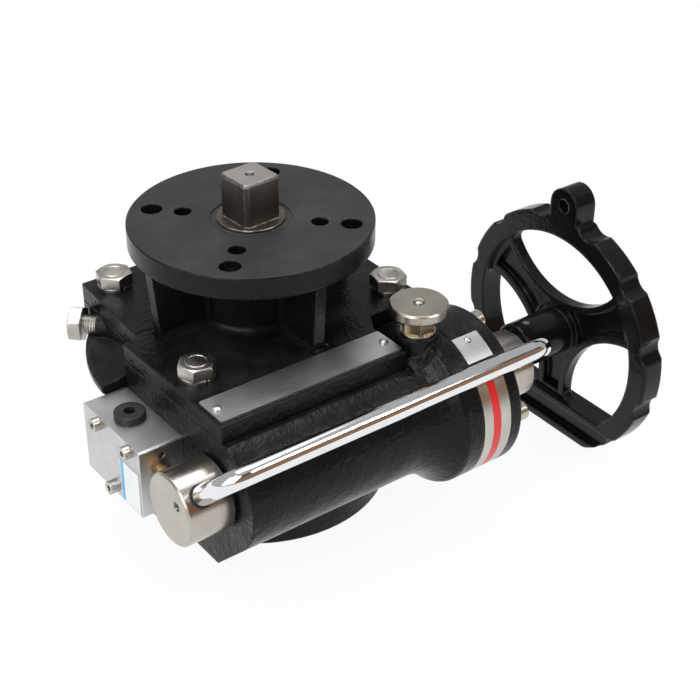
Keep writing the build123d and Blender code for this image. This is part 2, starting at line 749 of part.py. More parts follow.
def rod_leg_plane(x, r):
    return Plane(origin=along_rod(x, r), x_dir=(1, 0, 0),
                 z_dir=(0, cos(radians(rod_angle)), sin(radians(rod_angle))))


knob_end_x = knob_x + knob_len
with BuildPart() as lever_knob:
    add(bar(on_tube, knob_x, knob_end_x, knob_r))
    chamfer(lever_knob.faces().sort_by(Axis.X)[0].edges(), 1.0)
    chamfer(lever_knob.faces().sort_by(Axis.X)[-1].edges(), 0.6)
    add(bar(on_tube, journal_x0 - 0.5, knob_end_x, journal_r + gap), mode=Mode.SUBTRACT)
    with BuildSketch(rod_leg_plane(rod_left_x, 4.8)):
        Circle(rod_r + gap)
    extrude(amount=knob_r, mode=Mode.SUBTRACT)
    with BuildSketch(on_tube(knob_x)):
        with Locations(polar(9.4, rod_angle)):
            Circle(2.5)
    extrude(amount=rod_left_x - rod_r - knob_x + 1, mode=Mode.SUBTRACT)
    # cam groove that presses the valve plunger when the lever swings down
    with BuildSketch(on_tube(valve_axis_x - 4)):
        with BuildLine():
            steps = [n * lever_travel / 10 for n in range(-1, 12)]
            floor = Spline(*[polar(cam_r + valve_stroke * a / lever_travel, -a)
                             for a in steps])
            rim_arc = CenterArc((0, 0), knob_r + 1, -steps[0], steps[0] - steps[-1])
            Line(floor @ 0, rim_arc @ 0)
            Line(floor @ 1, rim_arc @ 1)
        make_face()
    extrude(amount=8, mode=Mode.SUBTRACT)
save(lever_knob.part, "lever_knob", NICKEL)

with BuildPart() as lever_rod:
    with BuildLine() as rod_path:
        FilletPolyline(along_rod(rod_left_x, 5.0), along_rod(rod_left_x, rod_throw),
                       along_rod(rod_right_x, rod_throw), along_rod(rod_right_x, 9.3),
                       radius=rod_bend_r)
    with BuildSketch(rod_leg_plane(rod_left_x, 5.0)):
        Circle(rod_r)
    sweep(path=rod_path.line)
save(lever_rod.part, "lever_rod", CHROME)

with BuildPart() as lever_grub_screws:
    with BuildSketch(on_tube(knob_x + 0.8)):
        with Locations(polar(9.4, rod_angle)):
            Circle(2.45)
            RegularPolygon(1.25, 6, major_radius=False, mode=Mode.SUBTRACT)
    extrude(amount=rod_left_x - rod_r - knob_x - 0.85)
    with BuildSketch(on_tube(rod_right_x + rod_r + 0.05)):
        with Locations(polar(13, rod_angle)):
            Circle(2.45)
            RegularPolygon(1.25, 6, major_radius=False, mode=Mode.SUBTRACT)
    extrude(amount=sleeve_end_x - rod_right_x - rod_r - 0.8)
save(lever_grub_screws.part, "lever_grub_screws", STEEL)

# ----------------------------------------------------------- ring and end cover
hood_inner_r = tube_flange_r - 2.6
with BuildPart() as index_ring:
    with BuildSketch(on_tube(ring_x)):
        Circle(tube_flange_r)
        add(sector(hood_inner_r - 0.1, tube_flange_r + 1, hood_from - 0.3, hood_to + 0.3),
            mode=Mode.SUBTRACT)
        Circle(sleeve_r + gap, mode=Mode.SUBTRACT)
        with PolarLocations(end_screw_circle_r, 4):
            Circle(end_screw_r + 0.2, mode=Mode.SUBTRACT)
    extrude(amount=ring_t)
save(index_ring.part, "index_ring", NICKEL)

with BuildPart() as end_cover:
    with BuildSketch(on_tube(end_cover_x)):
        Circle(tube_flange_r)
    extrude(amount=cover_plate_t)
    fillet(end_cover.faces().sort_by(Axis.X)[-1].edges(), 1.2)
    with BuildSketch(on_tube(ring_x + free)):
        add(sector(hood_inner_r, tube_flange_r, hood_from, hood_to))
    extrude(amount=ring_t - free)
    add(bar(on_tube, end_cover_x - 1, end_cover_face_x, sleeve_end_r + gap),
        mode=Mode.SUBTRACT)
    with BuildSketch(on_tube(end_cover_x)):
        with PolarLocations(end_screw_circle_r, 4):
            Circle(end_screw_r + 0.2)
    extrude(amount=cover_plate_t, mode=Mode.SUBTRACT)
save(end_cover.part, "end_cover", BLACK)

end_screw_head_h = 6.0
with BuildPart() as end_cover_screws:
    for angle in (0, 90, 180, 270):
        y, z = polar(end_screw_circle_r, angle)
        for x0, x1, r in ((tube_face_x - end_screw_grip + 0.3, end_cover_face_x, end_screw_r),
                          (end_cover_face_x, end_cover_face_x + end_screw_head_h, 5.0)):
            with BuildSketch(on_tube(x0)):
                with Locations((y, z)):
                    Circle(r)
            extrude(amount=x1 - x0)
        with BuildSketch(on_tube(end_cover_face_x + end_screw_head_h)):
            with Locations((y, z)):
                RegularPolygon(2.5, 6, major_radius=False)
        extrude(amount=-3.2, mode=Mode.SUBTRACT)
save(end_cover_screws.part, "end_cover_screws", NICKEL)

with BuildPart() as position_plate:
    with BuildSketch(on_tube(ring_x + free + 0.2)):
        add(sector(tube_flange_r, tube_flange_r + 0.6, 108, 128.5))
    extrude(amount=ring_t - 1.2)
save(position_plate.part, "position_plate", PLATE)

# -------------------------------------------------------------- index plunger
plunger_hex_z = plunger_seat_z + 1.0
plunger_bore_top = plunger_seat_z - 1.5
pin_low_z = tube_z + slot_floor_r + 1.0
pin_head_z = pin_low_z + 12.0
stem_pin_r = 2.2
with BuildPart() as plunger_body:
    with Locations((plunger_x, tube_y, plunger_hex_z)):
        add(hex_bar(15.0, plunger_disc_z - 0.3 - plunger_hex_z))
    with Locations((plunger_x, tube_y, plunger_hex_z)):
        Cylinder(plunger_thread_r, plunger_hex_z - tube_z - sleeve_r - 3.5,
                 align=(Align.CENTER, Align.CENTER, Align.MAX))
    with Locations((plunger_x, tube_y, plunger_bore_top)):
        Cylinder(plunger_pin_r + gap, 20, align=(Align.CENTER, Align.CENTER, Align.MAX),
                 mode=Mode.SUBTRACT)
    with Locations((plunger_x, tube_y, plunger_bore_top)):
        Cylinder(stem_pin_r + gap, 20, align=(Align.CENTER, Align.CENTER, Align.MIN),
                 mode=Mode.SUBTRACT)
save(plunger_body.part, "plunger_body", NICKEL)

with BuildPart() as plunger_washer:
    with Locations((plunger_x, tube_y, plunger_seat_z)):
        Cylinder(9, plunger_hex_z - plunger_seat_z,
                 align=(Align.CENTER, Align.CENTER, Align.MIN))
        Cylinder(plunger_thread_r + 0.2, 4, mode=Mode.SUBTRACT)
save(plunger_washer.part, "plunger_washer", STEEL)

with BuildPart() as index_plunger:
    with Locations((plunger_x, tube_y, pin_low_z)):
        Cylinder(plunger_pin_r, pin_head_z - pin_low_z,
                 align=(Align.CENTER, Align.CENTER, Align.MIN))
    chamfer(index_plunger.faces().sort_by(Axis.Z)[0].edges(), 0.6)
    with Locations((plunger_x, tube_y, pin_low_z)):
        Cylinder(stem_pin_r, plunger_disc_z + 1 - pin_low_z,
                 align=(Align.CENTER, Align.CENTER, Align.MIN))
    with BuildSketch(Plane(origin=(plunger_x, tube_y, 0), x_dir=(1, 0, 0), z_dir=(0, -1, 0))):
        with BuildLine():
            Polyline((0, plunger_disc_z), (plunger_disc_r - 0.8, plunger_disc_z),
                     (plunger_disc_r, plunger_disc_z + 0.8),
                     (plunger_disc_r, plunger_disc_z + plunger_disc_t - 0.8),
                     (plunger_disc_r - 0.8, plunger_disc_z + plunger_disc_t),
                     (0, plunger_disc_z + plunger_disc_t), close=True)
        make_face()
    revolve(axis=Axis((plunger_x, tube_y, 0), (0, 0, 1)))
    with Locations((plunger_x, tube_y, plunger_disc_z + plunger_disc_t)):
        Cone(0.5, 3.2, 1.8, align=(Align.CENTER, Align.CENTER, Align.MAX),
             mode=Mode.SUBTRACT)
save(index_plunger.part, "index_plunger", NICKEL)

spring_len = plunger_bore_top - pin_head_z - 0.2
spring_r = 3.1
spring_turns = 6
with BuildPart() as plunger_spring:
    with BuildSketch(Plane(origin=(plunger_x, tube_y, pin_head_z + 0.3),
                           x_dir=(1, 0, 0), z_dir=(0, -1, 0))):
        with Locations((spring_r, spring_len / 2 - 0.3)):
            Rectangle(0.3, spring_len - 0.6)
        for turn in range(spring_turns):
            with Locations((spring_r, (turn + 0.5) * (spring_len - 0.6) / spring_turns)):
                Circle(0.4)
    revolve(axis=Axis((plunger_x, tube_y, 0), (0, 0, 1)))
save(plunger_spring.part, "plunger_spring", STEEL)

# ------------------------------------------------------------ plates and rivets
name_x0 = end_face_x + 2.0
name_x1 = plunger_x - plunger_boss_r - 1.7
name_y = -71.3
plate_t = 0.8
with BuildPart() as name_plate:
    with BuildSketch(Plane.XY.offset(cover_top_z)):
        with Locations(((name_x0 + name_x1) / 2, name_y)):
            RectangleRounded(name_x1 - name_x0, 20, 1.5)
            with GridLocations(name_x1 - name_x0 - 8, 0, 2, 1):
                Circle(1.3, mode=Mode.SUBTRACT)
    extrude(amount=plate_t)
save(name_plate.part, "name_plate", PLATE)

with BuildPart() as name_plate_rivets:
    for x in (name_x0 + 4, name_x1 - 4):
        with Locations((x, name_y, cover_top_z + plate_t)):
            Cylinder(2.3, 0.7, align=(Align.CENTER, Align.CENTER, Align.MIN))
            Cylinder(1.2, plate_t, align=(Align.CENTER, Align.CENTER, Align.MAX))
save(name_plate_rivets.part, "name_plate_rivets", ALU)

# ------------------------------------------------------------- interlock valve
valve_x0 = end_face_x - valve_l
valve_y1 = valve_y0 + valve_w
valve_top_z = valve_z0 + valve_h
valve_mid_x = (valve_x0 + end_face_x) / 2
port_y = -19.3
plunger_r = 3.0
with BuildPart() as valve_block:
    with Locations((valve_mid_x, (valve_y0 + valve_y1) / 2, valve_z0)):
        Box(valve_l, valve_w, valve_h, align=(Align.CENTER, Align.CENTER, Align.MIN))
    chamfer(valve_block.edges().filter_by(Axis.X), 0.8)
    with BuildSketch(Plane(origin=(valve_axis_x, valve_y0, tube_z), z_dir=(0, 1, 0))):
        Circle(plunger_r + gap)
    extrude(amount=30, mode=Mode.SUBTRACT)
    with BuildSketch(Plane(origin=(valve_axis_x + 0.6, valve_y0, 71.5), z_dir=(0, 1, 0))):
        Circle(1.5)
    extrude(amount=6, mode=Mode.SUBTRACT)
    with Locations((valve_mid_x, port_y, valve_top_z)):
        Cylinder(5, 10, align=(Align.CENTER, Align.CENTER, Align.MAX), mode=Mode.SUBTRACT)
    for y, z in valve_screws_yz:
        with BuildSketch(Plane(origin=(valve_x0, y, z), z_dir=(1, 0, 0))):
            Circle(valve_screw_r + 0.2)
        extrude(amount=valve_l, mode=Mode.SUBTRACT)
save(valve_block.part, "valve_block", ALU)

with BuildPart() as valve_screws:
    for y, z in valve_screws_yz:
        for x, length, r in ((valve_x0, valve_l + 8.5, valve_screw_r), (valve_x0 - 4, 4, 3.5)):
            with BuildSketch(Plane(origin=(x, y, z), z_dir=(1, 0, 0))):
                Circle(r)
            extrude(amount=length)
        with BuildSketch(Plane(origin=(valve_x0 - 4, y, z), z_dir=(1, 0, 0))):
            RegularPolygon(1.5, 6, major_radius=False)
        extrude(amount=2.2, mode=Mode.SUBTRACT)
save(valve_screws.part, "valve_screws", STEEL)

with BuildPart() as valve_fitting:
    with Locations((valve_mid_x, port_y, valve_top_z)):
        Cylinder(8, 4.0, align=(Align.CENTER, Align.CENTER, Align.MIN))
        fillet(valve_fitting.faces().sort_by(Axis.Z)[-1].edges(), 1.0)
        Cylinder(5 - gap, 9, align=(Align.CENTER, Align.CENTER, Align.MAX))
        Cylinder(3.0, 30, mode=Mode.SUBTRACT)
save(valve_fitting.part, "valve_fitting", BLACK)

with BuildPart() as valve_plunger:
    tip_y = tube_y + cam_r + gap
    with BuildSketch(Plane(origin=(valve_axis_x, tip_y + 2, tube_z), z_dir=(0, 1, 0))):
        Circle(plunger_r)
    extrude(amount=valve_y0 + 22 - tip_y - 2)
    with Locations((valve_axis_x, tip_y + plunger_r, tube_z)):
        Sphere(plunger_r)
    with BuildSketch(Plane(origin=(valve_axis_x, valve_y0 - 4.7, tube_z), z_dir=(0, 1, 0))):
        Circle(4.6)
    extrude(amount=2.2)
save(valve_plunger.part, "valve_plunger", BRASS)

with BuildPart() as valve_label:
    with Locations((valve_x0, -37.6, valve_z0 + 13)):
        Box(0.4, 17.6, 24, align=(Align.MAX, Align.CENTER, Align.CENTER))
save(valve_label.part, "valve_label", PLATE)

# ------------------------------------------------------------------- handwheel
rim_far_x = wheel_near_x + wheel_rim_t
with BuildPart() as handwheel:
    # rim with finger notches, a flat and straight inner edge at the bottom,
    # and the lug that carries the hand grip
    with BuildSketch(on_worm(wheel_near_x)):
        Circle(wheel_r)
        with PolarLocations(wheel_r + 6, 12, start_angle=15):
            Circle(9, mode=Mode.SUBTRACT)
        with Locations((0, -wheel_flat)):
            Rectangle(2 * wheel_r, 2 * notch_depth, mode=Mode.SUBTRACT,
                      align=(Align.CENTER, Align.MAX))
        with BuildSketch(mode=Mode.PRIVATE) as flat_bar:
            with Locations((0, -wheel_flat)):
                Rectangle(2 * sqrt(wheel_r ** 2 - wheel_flat ** 2), 14,
                          align=(Align.CENTER, Align.MIN))
            Circle(wheel_r, mode=Mode.INTERSECT)
        add(flat_bar.sketch)
        with Locations((0, lug_throw - 8)):
            Rectangle(2 * lug_r, 16)
        with Locations(polar(lug_throw, 90)):
            Circle(lug_r)
        with BuildSketch(mode=Mode.PRIVATE) as bore:
            Circle(wheel_inner_r)
            with Locations((0, -wheel_flat_inner)):
                Rectangle(2 * wheel_r, 2 * wheel_r, mode=Mode.INTERSECT,
                          align=(Align.CENTER, Align.MIN))
        add(bore.sketch, mode=Mode.SUBTRACT)
    extrude(amount=wheel_rim_t)
    fillet([e for e in handwheel.edges().filter_by(GeomType.CIRCLE)
            if abs(e.radius - wheel_r) < 0.01], 1.5)
    # thin web with three windows, set back inside the rim
    with BuildSketch(on_worm(wheel_web_x)):
        with BuildSketch(mode=Mode.PRIVATE) as disc:
            Circle(wheel_inner_r + 1)
            with Locations((0, -wheel_flat_inner - 1)):
                Rectangle(2 * wheel_r, 2 * wheel_r, mode=Mode.INTERSECT,
                          align=(Align.CENTER, Align.MIN))
        add(disc.sketch)
        for angle in spoke_angles:
            with BuildSketch(mode=Mode.PRIVATE) as window:
                with Locations(polar(window_throw, angle + 60)):
                    Circle(window_r)
                Circle(wheel_inner_r, mode=Mode.INTERSECT)
                with Locations((0, -wheel_flat_inner)):
                    Rectangle(2 * wheel_r, 2 * wheel_r, mode=Mode.INTERSECT,
                              align=(Align.CENTER, Align.MIN))
                fillet(window.vertices(), 5)
            add(window.sketch, mode=Mode.SUBTRACT)
    extrude(amount=wheel_web_t)
    # channel of each spoke between the ribs that edge the windows
    with BuildSketch(on_worm(wheel_web_x)):
        Circle(wheel_inner_r - rib_w)
        with Locations((0, rib_w - wheel_flat_inner)):
            Rectangle(2 * wheel_r, 2 * wheel_r, mode=Mode.INTERSECT,
                      align=(Align.CENTER, Align.MIN))
        for angle in spoke_angles:
            with Locations(polar(window_throw, angle + 60)):
                Circle(window_r + rib_w, mode=Mode.SUBTRACT)
        Circle(wheel_hub_r + rib_w, mode=Mode.SUBTRACT)
    extrude(amount=channel_depth, mode=Mode.SUBTRACT)
    with BuildSketch(on_worm(wheel_near_x)):
        with Locations((0, -(wheel_flat + wheel_flat_inner) / 2)):
            RectangleRounded(2 * (wheel_flat - wheel_hub_r),
                             wheel_flat - wheel_flat_inner - 2 * rib_w, 3)
    extrude(amount=channel_depth, mode=Mode.SUBTRACT)
    add(bar(on_worm, wheel_hub_x, rim_far_x, wheel_hub_r))
    chamfer(handwheel.faces().sort_by(Axis.X)[0].edges(), 0.8)
    add(bar(on_worm, wheel_hub_x, rim_far_x, shaft_stub_r + gap), mode=Mode.SUBTRACT)
    with BuildSketch(on_worm(wheel_near_x)):
        with Locations(polar(lug_throw, 90)):
            Circle(3.6)
    extrude(amount=wheel_rim_t, mode=Mode.SUBTRACT)
    with BuildSketch(Plane(origin=(hub_pin_x, worm_y, worm_z), z_dir=(0, 0, 1))):
        Circle(pin_r)
    extrude(amount=20, both=True, mode=Mode.SUBTRACT)
save(handwheel.part, "handwheel", BLACK)

with BuildPart() as handwheel_pin:
    with BuildSketch(Plane(origin=(hub_pin_x, worm_y, worm_z), z_dir=(0, 0, 1))):
        Circle(pin_r - gap)
    extrude(amount=wheel_hub_r - 0.4, both=True)
save(handwheel_pin.part, "handwheel_pin", STEEL)

with BuildPart() as handwheel_screw:
    add(bar(on_worm, rim_far_x + 1.5, rim_far_x + 5.5, 4.5))
    with BuildSketch(on_worm(rim_far_x + 5.5)):
        RegularPolygon(2.0, 6, major_radius=False)
    extrude(amount=-2.4, mode=Mode.SUBTRACT)
    add(bar(on_worm, input_shaft_x1 - 12, rim_far_x + 1.5, 2.5 - gap))
save(handwheel_screw.part, "handwheel_screw", STEEL)
save(tube(on_worm, rim_far_x, rim_far_x + 1.5, 9.5, 2.8), "handwheel_washer", STEEL)
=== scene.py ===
# %% [markdown]
# Declutchable valve gear operator
# This part turns a quarter-turn valve by hand.  A handwheel drives a worm, the worm
# drives a toothed sector on the square output shaft, and a bent chrome lever swings the
# worm out of mesh.  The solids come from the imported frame.  This lesson gives them
# their finishes and adds the small shapes that only the eye needs.

# %% Load the frame and keep its box
import bpy
import math
import numpy as np
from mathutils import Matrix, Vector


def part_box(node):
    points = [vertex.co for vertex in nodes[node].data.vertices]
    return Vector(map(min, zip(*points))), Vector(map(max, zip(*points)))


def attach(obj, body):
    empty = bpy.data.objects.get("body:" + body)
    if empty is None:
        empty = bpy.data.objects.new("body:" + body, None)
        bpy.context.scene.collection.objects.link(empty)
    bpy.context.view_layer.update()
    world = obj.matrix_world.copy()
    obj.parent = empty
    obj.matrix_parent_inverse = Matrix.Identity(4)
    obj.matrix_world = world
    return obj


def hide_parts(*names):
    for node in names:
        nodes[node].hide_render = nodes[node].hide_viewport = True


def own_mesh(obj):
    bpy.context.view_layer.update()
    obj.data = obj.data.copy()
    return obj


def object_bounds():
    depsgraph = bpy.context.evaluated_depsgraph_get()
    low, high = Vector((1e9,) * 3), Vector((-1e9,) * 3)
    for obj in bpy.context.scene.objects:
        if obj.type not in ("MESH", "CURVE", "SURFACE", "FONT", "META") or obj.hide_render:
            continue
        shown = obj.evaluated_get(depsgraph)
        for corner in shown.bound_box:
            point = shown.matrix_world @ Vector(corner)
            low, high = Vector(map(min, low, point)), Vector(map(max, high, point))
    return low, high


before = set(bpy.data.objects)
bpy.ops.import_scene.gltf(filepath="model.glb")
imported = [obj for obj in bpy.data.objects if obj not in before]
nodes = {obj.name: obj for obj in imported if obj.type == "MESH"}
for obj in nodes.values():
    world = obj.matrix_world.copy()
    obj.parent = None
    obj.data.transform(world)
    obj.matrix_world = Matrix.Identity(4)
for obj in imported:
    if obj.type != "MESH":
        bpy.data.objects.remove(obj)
cad_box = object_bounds()
print("nodes", len(nodes), "box", [round(v, 4) for v in (*cad_box[0], *cad_box[1])])

# %% [markdown]
# Camera
# The camera stands in front of the worm side and looks down on the gearbox.  A long lens
# keeps the perspective gentle.  Its aim is written as two angles and a small roll, and
# the rotation matrix is built from the three axes of the camera.

# %% Camera
cam_azimuth = math.radians(37.26)
cam_height = math.radians(32.74)
cam_roll = math.radians(0.52)
cam_place = np.array((-0.3722, -0.5722, 0.5117))


def camera_axes(azimuth, height, roll):
    """Forward is the horizontal heading lowered by the height angle.  Right is level,
    up is right crossed with forward, and the roll turns right and up about forward."""
    forward = np.array((math.sin(azimuth) * math.cos(height),
                        math.cos(azimuth) * math.cos(height), -math.sin(height)))
    right = np.array((math.cos(azimuth), -math.sin(azimuth), 0.0))
    up = np.cross(right, forward)
    turned_right = math.cos(roll) * right + math.sin(roll) * up
    turned_up = -math.sin(roll) * right + math.cos(roll) * up
    return turned_right, turned_up, forward


cam_data = bpy.data.cameras.new("camera")
camera = bpy.data.objects.new("camera", cam_data)
bpy.context.scene.collection.objects.link(camera)
bpy.context.scene.camera = camera
cam_data.lens = 78.74
cam_data.sensor_width = 36.0
cam_data.clip_start, cam_data.clip_end = 0.05, 20.0
right, up, forward = camera_axes(cam_azimuth, cam_height, cam_roll)
matrix = np.eye(4)
matrix[:3, 0], matrix[:3, 1], matrix[:3, 2], matrix[:3, 3] = right, up, -forward, cam_place
camera.matrix_world = [list(row) for row in matrix.T]
bpy.context.scene.view_settings.view_transform = "Standard"
print("camera looks along", np.round(forward, 3))

# %% [markdown]
# Node helpers
# A material is a small graph, and the same few steps come back in each one: place a node,
# join two numbers, ease a value from one range to another, mix two colours or two
# shaders.  Each step is a short function here, so that a finish reads as a recipe and
# not as a list of links.

# %% Node helpers


def new_material(name):
    """An empty node material with its output node."""
    material = bpy.data.materials.new(name)
    material.use_nodes = True
    tree = material.node_tree
    tree.nodes.clear()
    output = tree.nodes.new("ShaderNodeOutputMaterial")
    return material, tree, output


def add_node(tree, kind, **settings):
    """A node with its properties and input values set by name."""
    node = tree.nodes.new(kind)
    inputs = settings.pop("inputs", {})
    for key, value in settings.items():
        setattr(node, key, value)
    for key, value in inputs.items():
        node.inputs[key].default_value = value
    return node


def math_node(tree, operation, first, second=None, third=None, clamp=False):
    """A Math node whose inputs are sockets or plain numbers."""
    node = add_node(tree, "ShaderNodeMath", operation=operation, use_clamp=clamp)
    for slot_index, value in enumerate((first, second, third)):
        if value is None:
            continue
        if isinstance(value, (int, float)):
            node.inputs[slot_index].default_value = value
        else:
            tree.links.new(value, node.inputs[slot_index])
    return node.outputs[0]


def ramp(tree, value, low, high, out_low=0.0, out_high=1.0):
    """A smooth step of a value from one range to another."""
    node = add_node(tree, "ShaderNodeMapRange", interpolation_type="SMOOTHSTEP")
    node.inputs["From Min"].default_value = low
    node.inputs["From Max"].default_value = high
    node.inputs["To Min"].default_value = out_low
    node.inputs["To Max"].default_value = out_high
    tree.links.new(value, node.inputs["Value"])
    return node.outputs["Result"]


def mix_colour(tree, factor, first, second):
    """A colour mix whose factor and colours are sockets or plain values."""
    node = add_node(tree, "ShaderNodeMix", data_type="RGBA", blend_type="MIX")
    for socket, value in ((node.inputs[0], factor), (node.inputs[6], first),
                          (node.inputs[7], second)):
        if isinstance(value, (int, float)):
            socket.default_value = value
        elif isinstance(value, tuple):
            socket.default_value = (*value[:3], 1.0)
        else:
            tree.links.new(value, socket)
    return node.outputs[2]


def mix_to_output(tree, output, factor, first, second):
    """Sends a mix of two shader nodes to the output.  The factor is a socket."""
    blend = add_node(tree, "ShaderNodeMixShader")
    tree.links.new(factor, blend.inputs[0])
    tree.links.new(first.outputs[0], blend.inputs[1])
    tree.links.new(second.outputs[0], blend.inputs[2])
    tree.links.new(blend.outputs[0], output.inputs["Surface"])


print("helpers", [f.__name__ for f in (new_material, add_node, math_node, ramp, mix_colour,
                                       mix_to_output)])

# %% [markdown]
# Floor
# A studio lights a product with large soft boxes over a white sweep.  The floor is a
# broad plane.  A pale floor could be made with more light, but that would bleach the part,
# so Light Path shows it white to the camera and to mirrors alone, and it still catches
# the soft shadow of the part.

# %% Floor
white = 1.0
floor_size = 60.0
floor_gap = 0.0005
floor_glow_share = 0.93


def flat_sheet(name, corners):
    """A sheet with four corners, given in turn."""
    mesh = bpy.data.meshes.new(name)
    mesh.from_pydata([tuple(float(v) for v in corner) for corner in corners], [],
                     [(0, 1, 2, 3)])
    thing = bpy.data.objects.new(name, mesh)
    bpy.context.scene.collection.objects.link(thing)
    return thing


corner_signs = ((-1, -1), (1, -1), (1, 1), (-1, 1))
floor_level = float(cad_box[0][2]) - floor_gap
floor = flat_sheet("floor", [(x * floor_size / 2, y * floor_size / 2, floor_level)
                             for x, y in corner_signs])
floor_finish, tree, output = new_material("floor white")
diffuse = add_node(tree, "ShaderNodeBsdfDiffuse", inputs={"Color": (0.9, 0.9, 0.9, 1)})
glow = add_node(tree, "ShaderNodeEmission", inputs={"Color": (1, 1, 1, 1), "Strength": white})
path = add_node(tree, "ShaderNodeLightPath")
seen = math_node(tree, "MAXIMUM", path.outputs["Is Camera Ray"], path.outputs["Is Glossy Ray"])
seen = math_node(tree, "MAXIMUM", seen, path.outputs["Is Transmission Ray"])
share = math_node(tree, "MULTIPLY", seen, floor_glow_share)
mix_to_output(tree, output, share, diffuse, glow)
floor.data.materials.append(floor_finish)
print("floor", floor_size, "m wide at", round(floor_level, 4))

# %% [markdown]
# World
# The world stands for the pale room.  One background could serve for all rays, but the
# light of a full white world would flatten the black paint.  So the camera sees white,
# and everything else receives a softer level.

# %% World
ambient_strength = 0.45
world = bpy.data.worlds.new("white sweep")
bpy.context.scene.world = world
world.use_nodes = True
tree = world.node_tree
tree.nodes.clear()
output = add_node(tree, "ShaderNodeOutputWorld")
backdrop = add_node(tree, "ShaderNodeBackground",
                    inputs={"Color": (1, 1, 1, 1), "Strength": white})
ambient = add_node(tree, "ShaderNodeBackground",
                   inputs={"Color": (1, 1, 1, 1), "Strength": ambient_strength})
path = add_node(tree, "ShaderNodeLightPath")
seen = math_node(tree, "MAXIMUM", path.outputs["Is Camera Ray"],
                 path.outputs["Is Transmission Ray"])
mix_to_output(tree, output, seen, ambient, backdrop)
print("world", world.name, "ambient", ambient_strength)

# %% [markdown]
# Lamps
# Three soft boxes give the even light of a studio.  Gloss paint is mostly black, and only
# its highlights show its shape, so two small bright lamps add the sharp glints that large
# boxes are too soft to give.

# %% Lamps


def soft_box(name, place, target, size, power):
    """A rectangular lamp at a place, turned to face a target point."""
    data = bpy.data.lights.new(name, "AREA")
    data.shape = "RECTANGLE"
    data.size, data.size_y = size
    data.energy = power
    lamp = bpy.data.objects.new(name, data)
    bpy.context.scene.collection.objects.link(lamp)
    back = np.array(place, float) - np.array(target, float)
    back = back / np.linalg.norm(back)
    side = np.cross((0.0, 0.0, 1.0), back)
    side = side / np.linalg.norm(side)
    over = np.cross(back, side)
    frame_matrix = np.eye(4)
    frame_matrix[:3, 0], frame_matrix[:3, 1], frame_matrix[:3, 2] = side, over, back
    frame_matrix[:3, 3] = place
    lamp.matrix_world = [list(row) for row in frame_matrix.T]
    return lamp


middle = (0.03, -0.03, 0.08)
for lamp_name, lamp_place, lamp_size, watts in (
        ("left box", (-1.1, -0.5, 0.8), (1.2, 1.2), 9.5),
        ("top box", (0.1, 0.25, 1.3), (1.0, 0.7), 9.0),
        ("front box", (0.5, -0.95, 1.15), (0.7, 0.4), 4.0),
        ("glint left", (-0.75, -0.35, 1.1), (0.08, 0.22), 2.4),
        ("glint right", (0.7, -0.9, 1.0), (0.07, 0.18), 1.4)):
    soft_box(lamp_name, lamp_place, middle, lamp_size, watts)

# %% [markdown]
# Studio wall
# Polished metal needs something dark to mirror, or chrome looks like white plastic.  Black
# cards near the part would do it, but they would shade it too.  So a tall wall stands well
# in front of the worm side, and only mirrors see it: it is clear to the camera and to
# soft light.  Its foot is the brown of a wooden room and it darkens upwards.

# %% Wall
wall_distance, wall_width, wall_height = 1.9, 8.0, 3.2
dark_from, dark_above = 1.5, 2.1
wood_brown, room_dark = (0.28, 0.165, 0.10), (0.05, 0.048, 0.05)
wall = flat_sheet("studio wall", [(across * wall_width / 2, -wall_distance, high)
                                  for across, high in ((-1, 0.0), (1, 0.0), (1, wall_height),
                                                       (-1, wall_height))])
wall_finish, tree, output = new_material("studio wall")
place = add_node(tree, "ShaderNodeTexCoord")
parts = add_node(tree, "ShaderNodeSeparateXYZ")
tree.links.new(place.outputs["Object"], parts.inputs[0])
shade = mix_colour(tree, ramp(tree, parts.outputs["Z"], dark_from, dark_above), wood_brown,
                   room_dark)
glow = add_node(tree, "ShaderNodeEmission", inputs={"Strength": 1.0})
tree.links.new(shade, glow.inputs["Color"])
clear = add_node(tree, "ShaderNodeBsdfTransparent")
path = add_node(tree, "ShaderNodeLightPath")
mix_to_output(tree, output, path.outputs["Is Glossy Ray"], clear, glow)
wall.data.materials.append(wall_finish)
print("wall", wall_width, "by", wall_height)

# %% [markdown]
# Shared effects
# Paint, plating and bare metal share the same small faults: worn edges, a cast skin,
# turning marks, fine scratches and a film of dust.  Each one is a node group with named
# inputs and outputs, built once, so every finish can use it with its own values.

# %% Group maker


def new_group(name, inputs, outputs, normals=()):
    """A shader node group with float inputs, and float or normal outputs."""
    group = bpy.data.node_groups.new(name, "ShaderNodeTree")
    for label, value in inputs:
        socket = group.interface.new_socket(label, in_out="INPUT", socket_type="NodeSocketFloat")
        socket.default_value = value
    for label in outputs:
        group.interface.new_socket(label, in_out="OUTPUT", socket_type="NodeSocketFloat")
    for label in normals:
        group.interface.new_socket(label, in_out="OUTPUT", socket_type="NodeSocketVector")
    return group, group.nodes.new("NodeGroupInput"), group.nodes.new("NodeGroupOutput")


def noise_at(tree, vector, scale, detail=2.0, roughness=0.5):
    """Noise of one scale, in cycles per metre, on a vector socket."""
    node = add_node(tree, "ShaderNodeTexNoise",
                    inputs={"Detail": detail, "Roughness": roughness})
    tree.links.new(vector, node.inputs["Vector"])
    if isinstance(scale, (int, float)):
        node.inputs["Scale"].default_value = scale
    else:
        tree.links.new(scale, node.inputs["Scale"])
    return node.outputs["Fac"]


print("group maker ready, groups so far", len(bpy.data.node_groups))

# %% [markdown]
# Edge wear
# Hands and spanners rub the paint thin where it turns a corner.  It could be painted by
# hand, but it has to follow every edge.  The bevel node rounds the normal near an edge:
# where the rounded and the true normal part, there is an edge, and a noise breaks it into
# the patches that handling leaves.

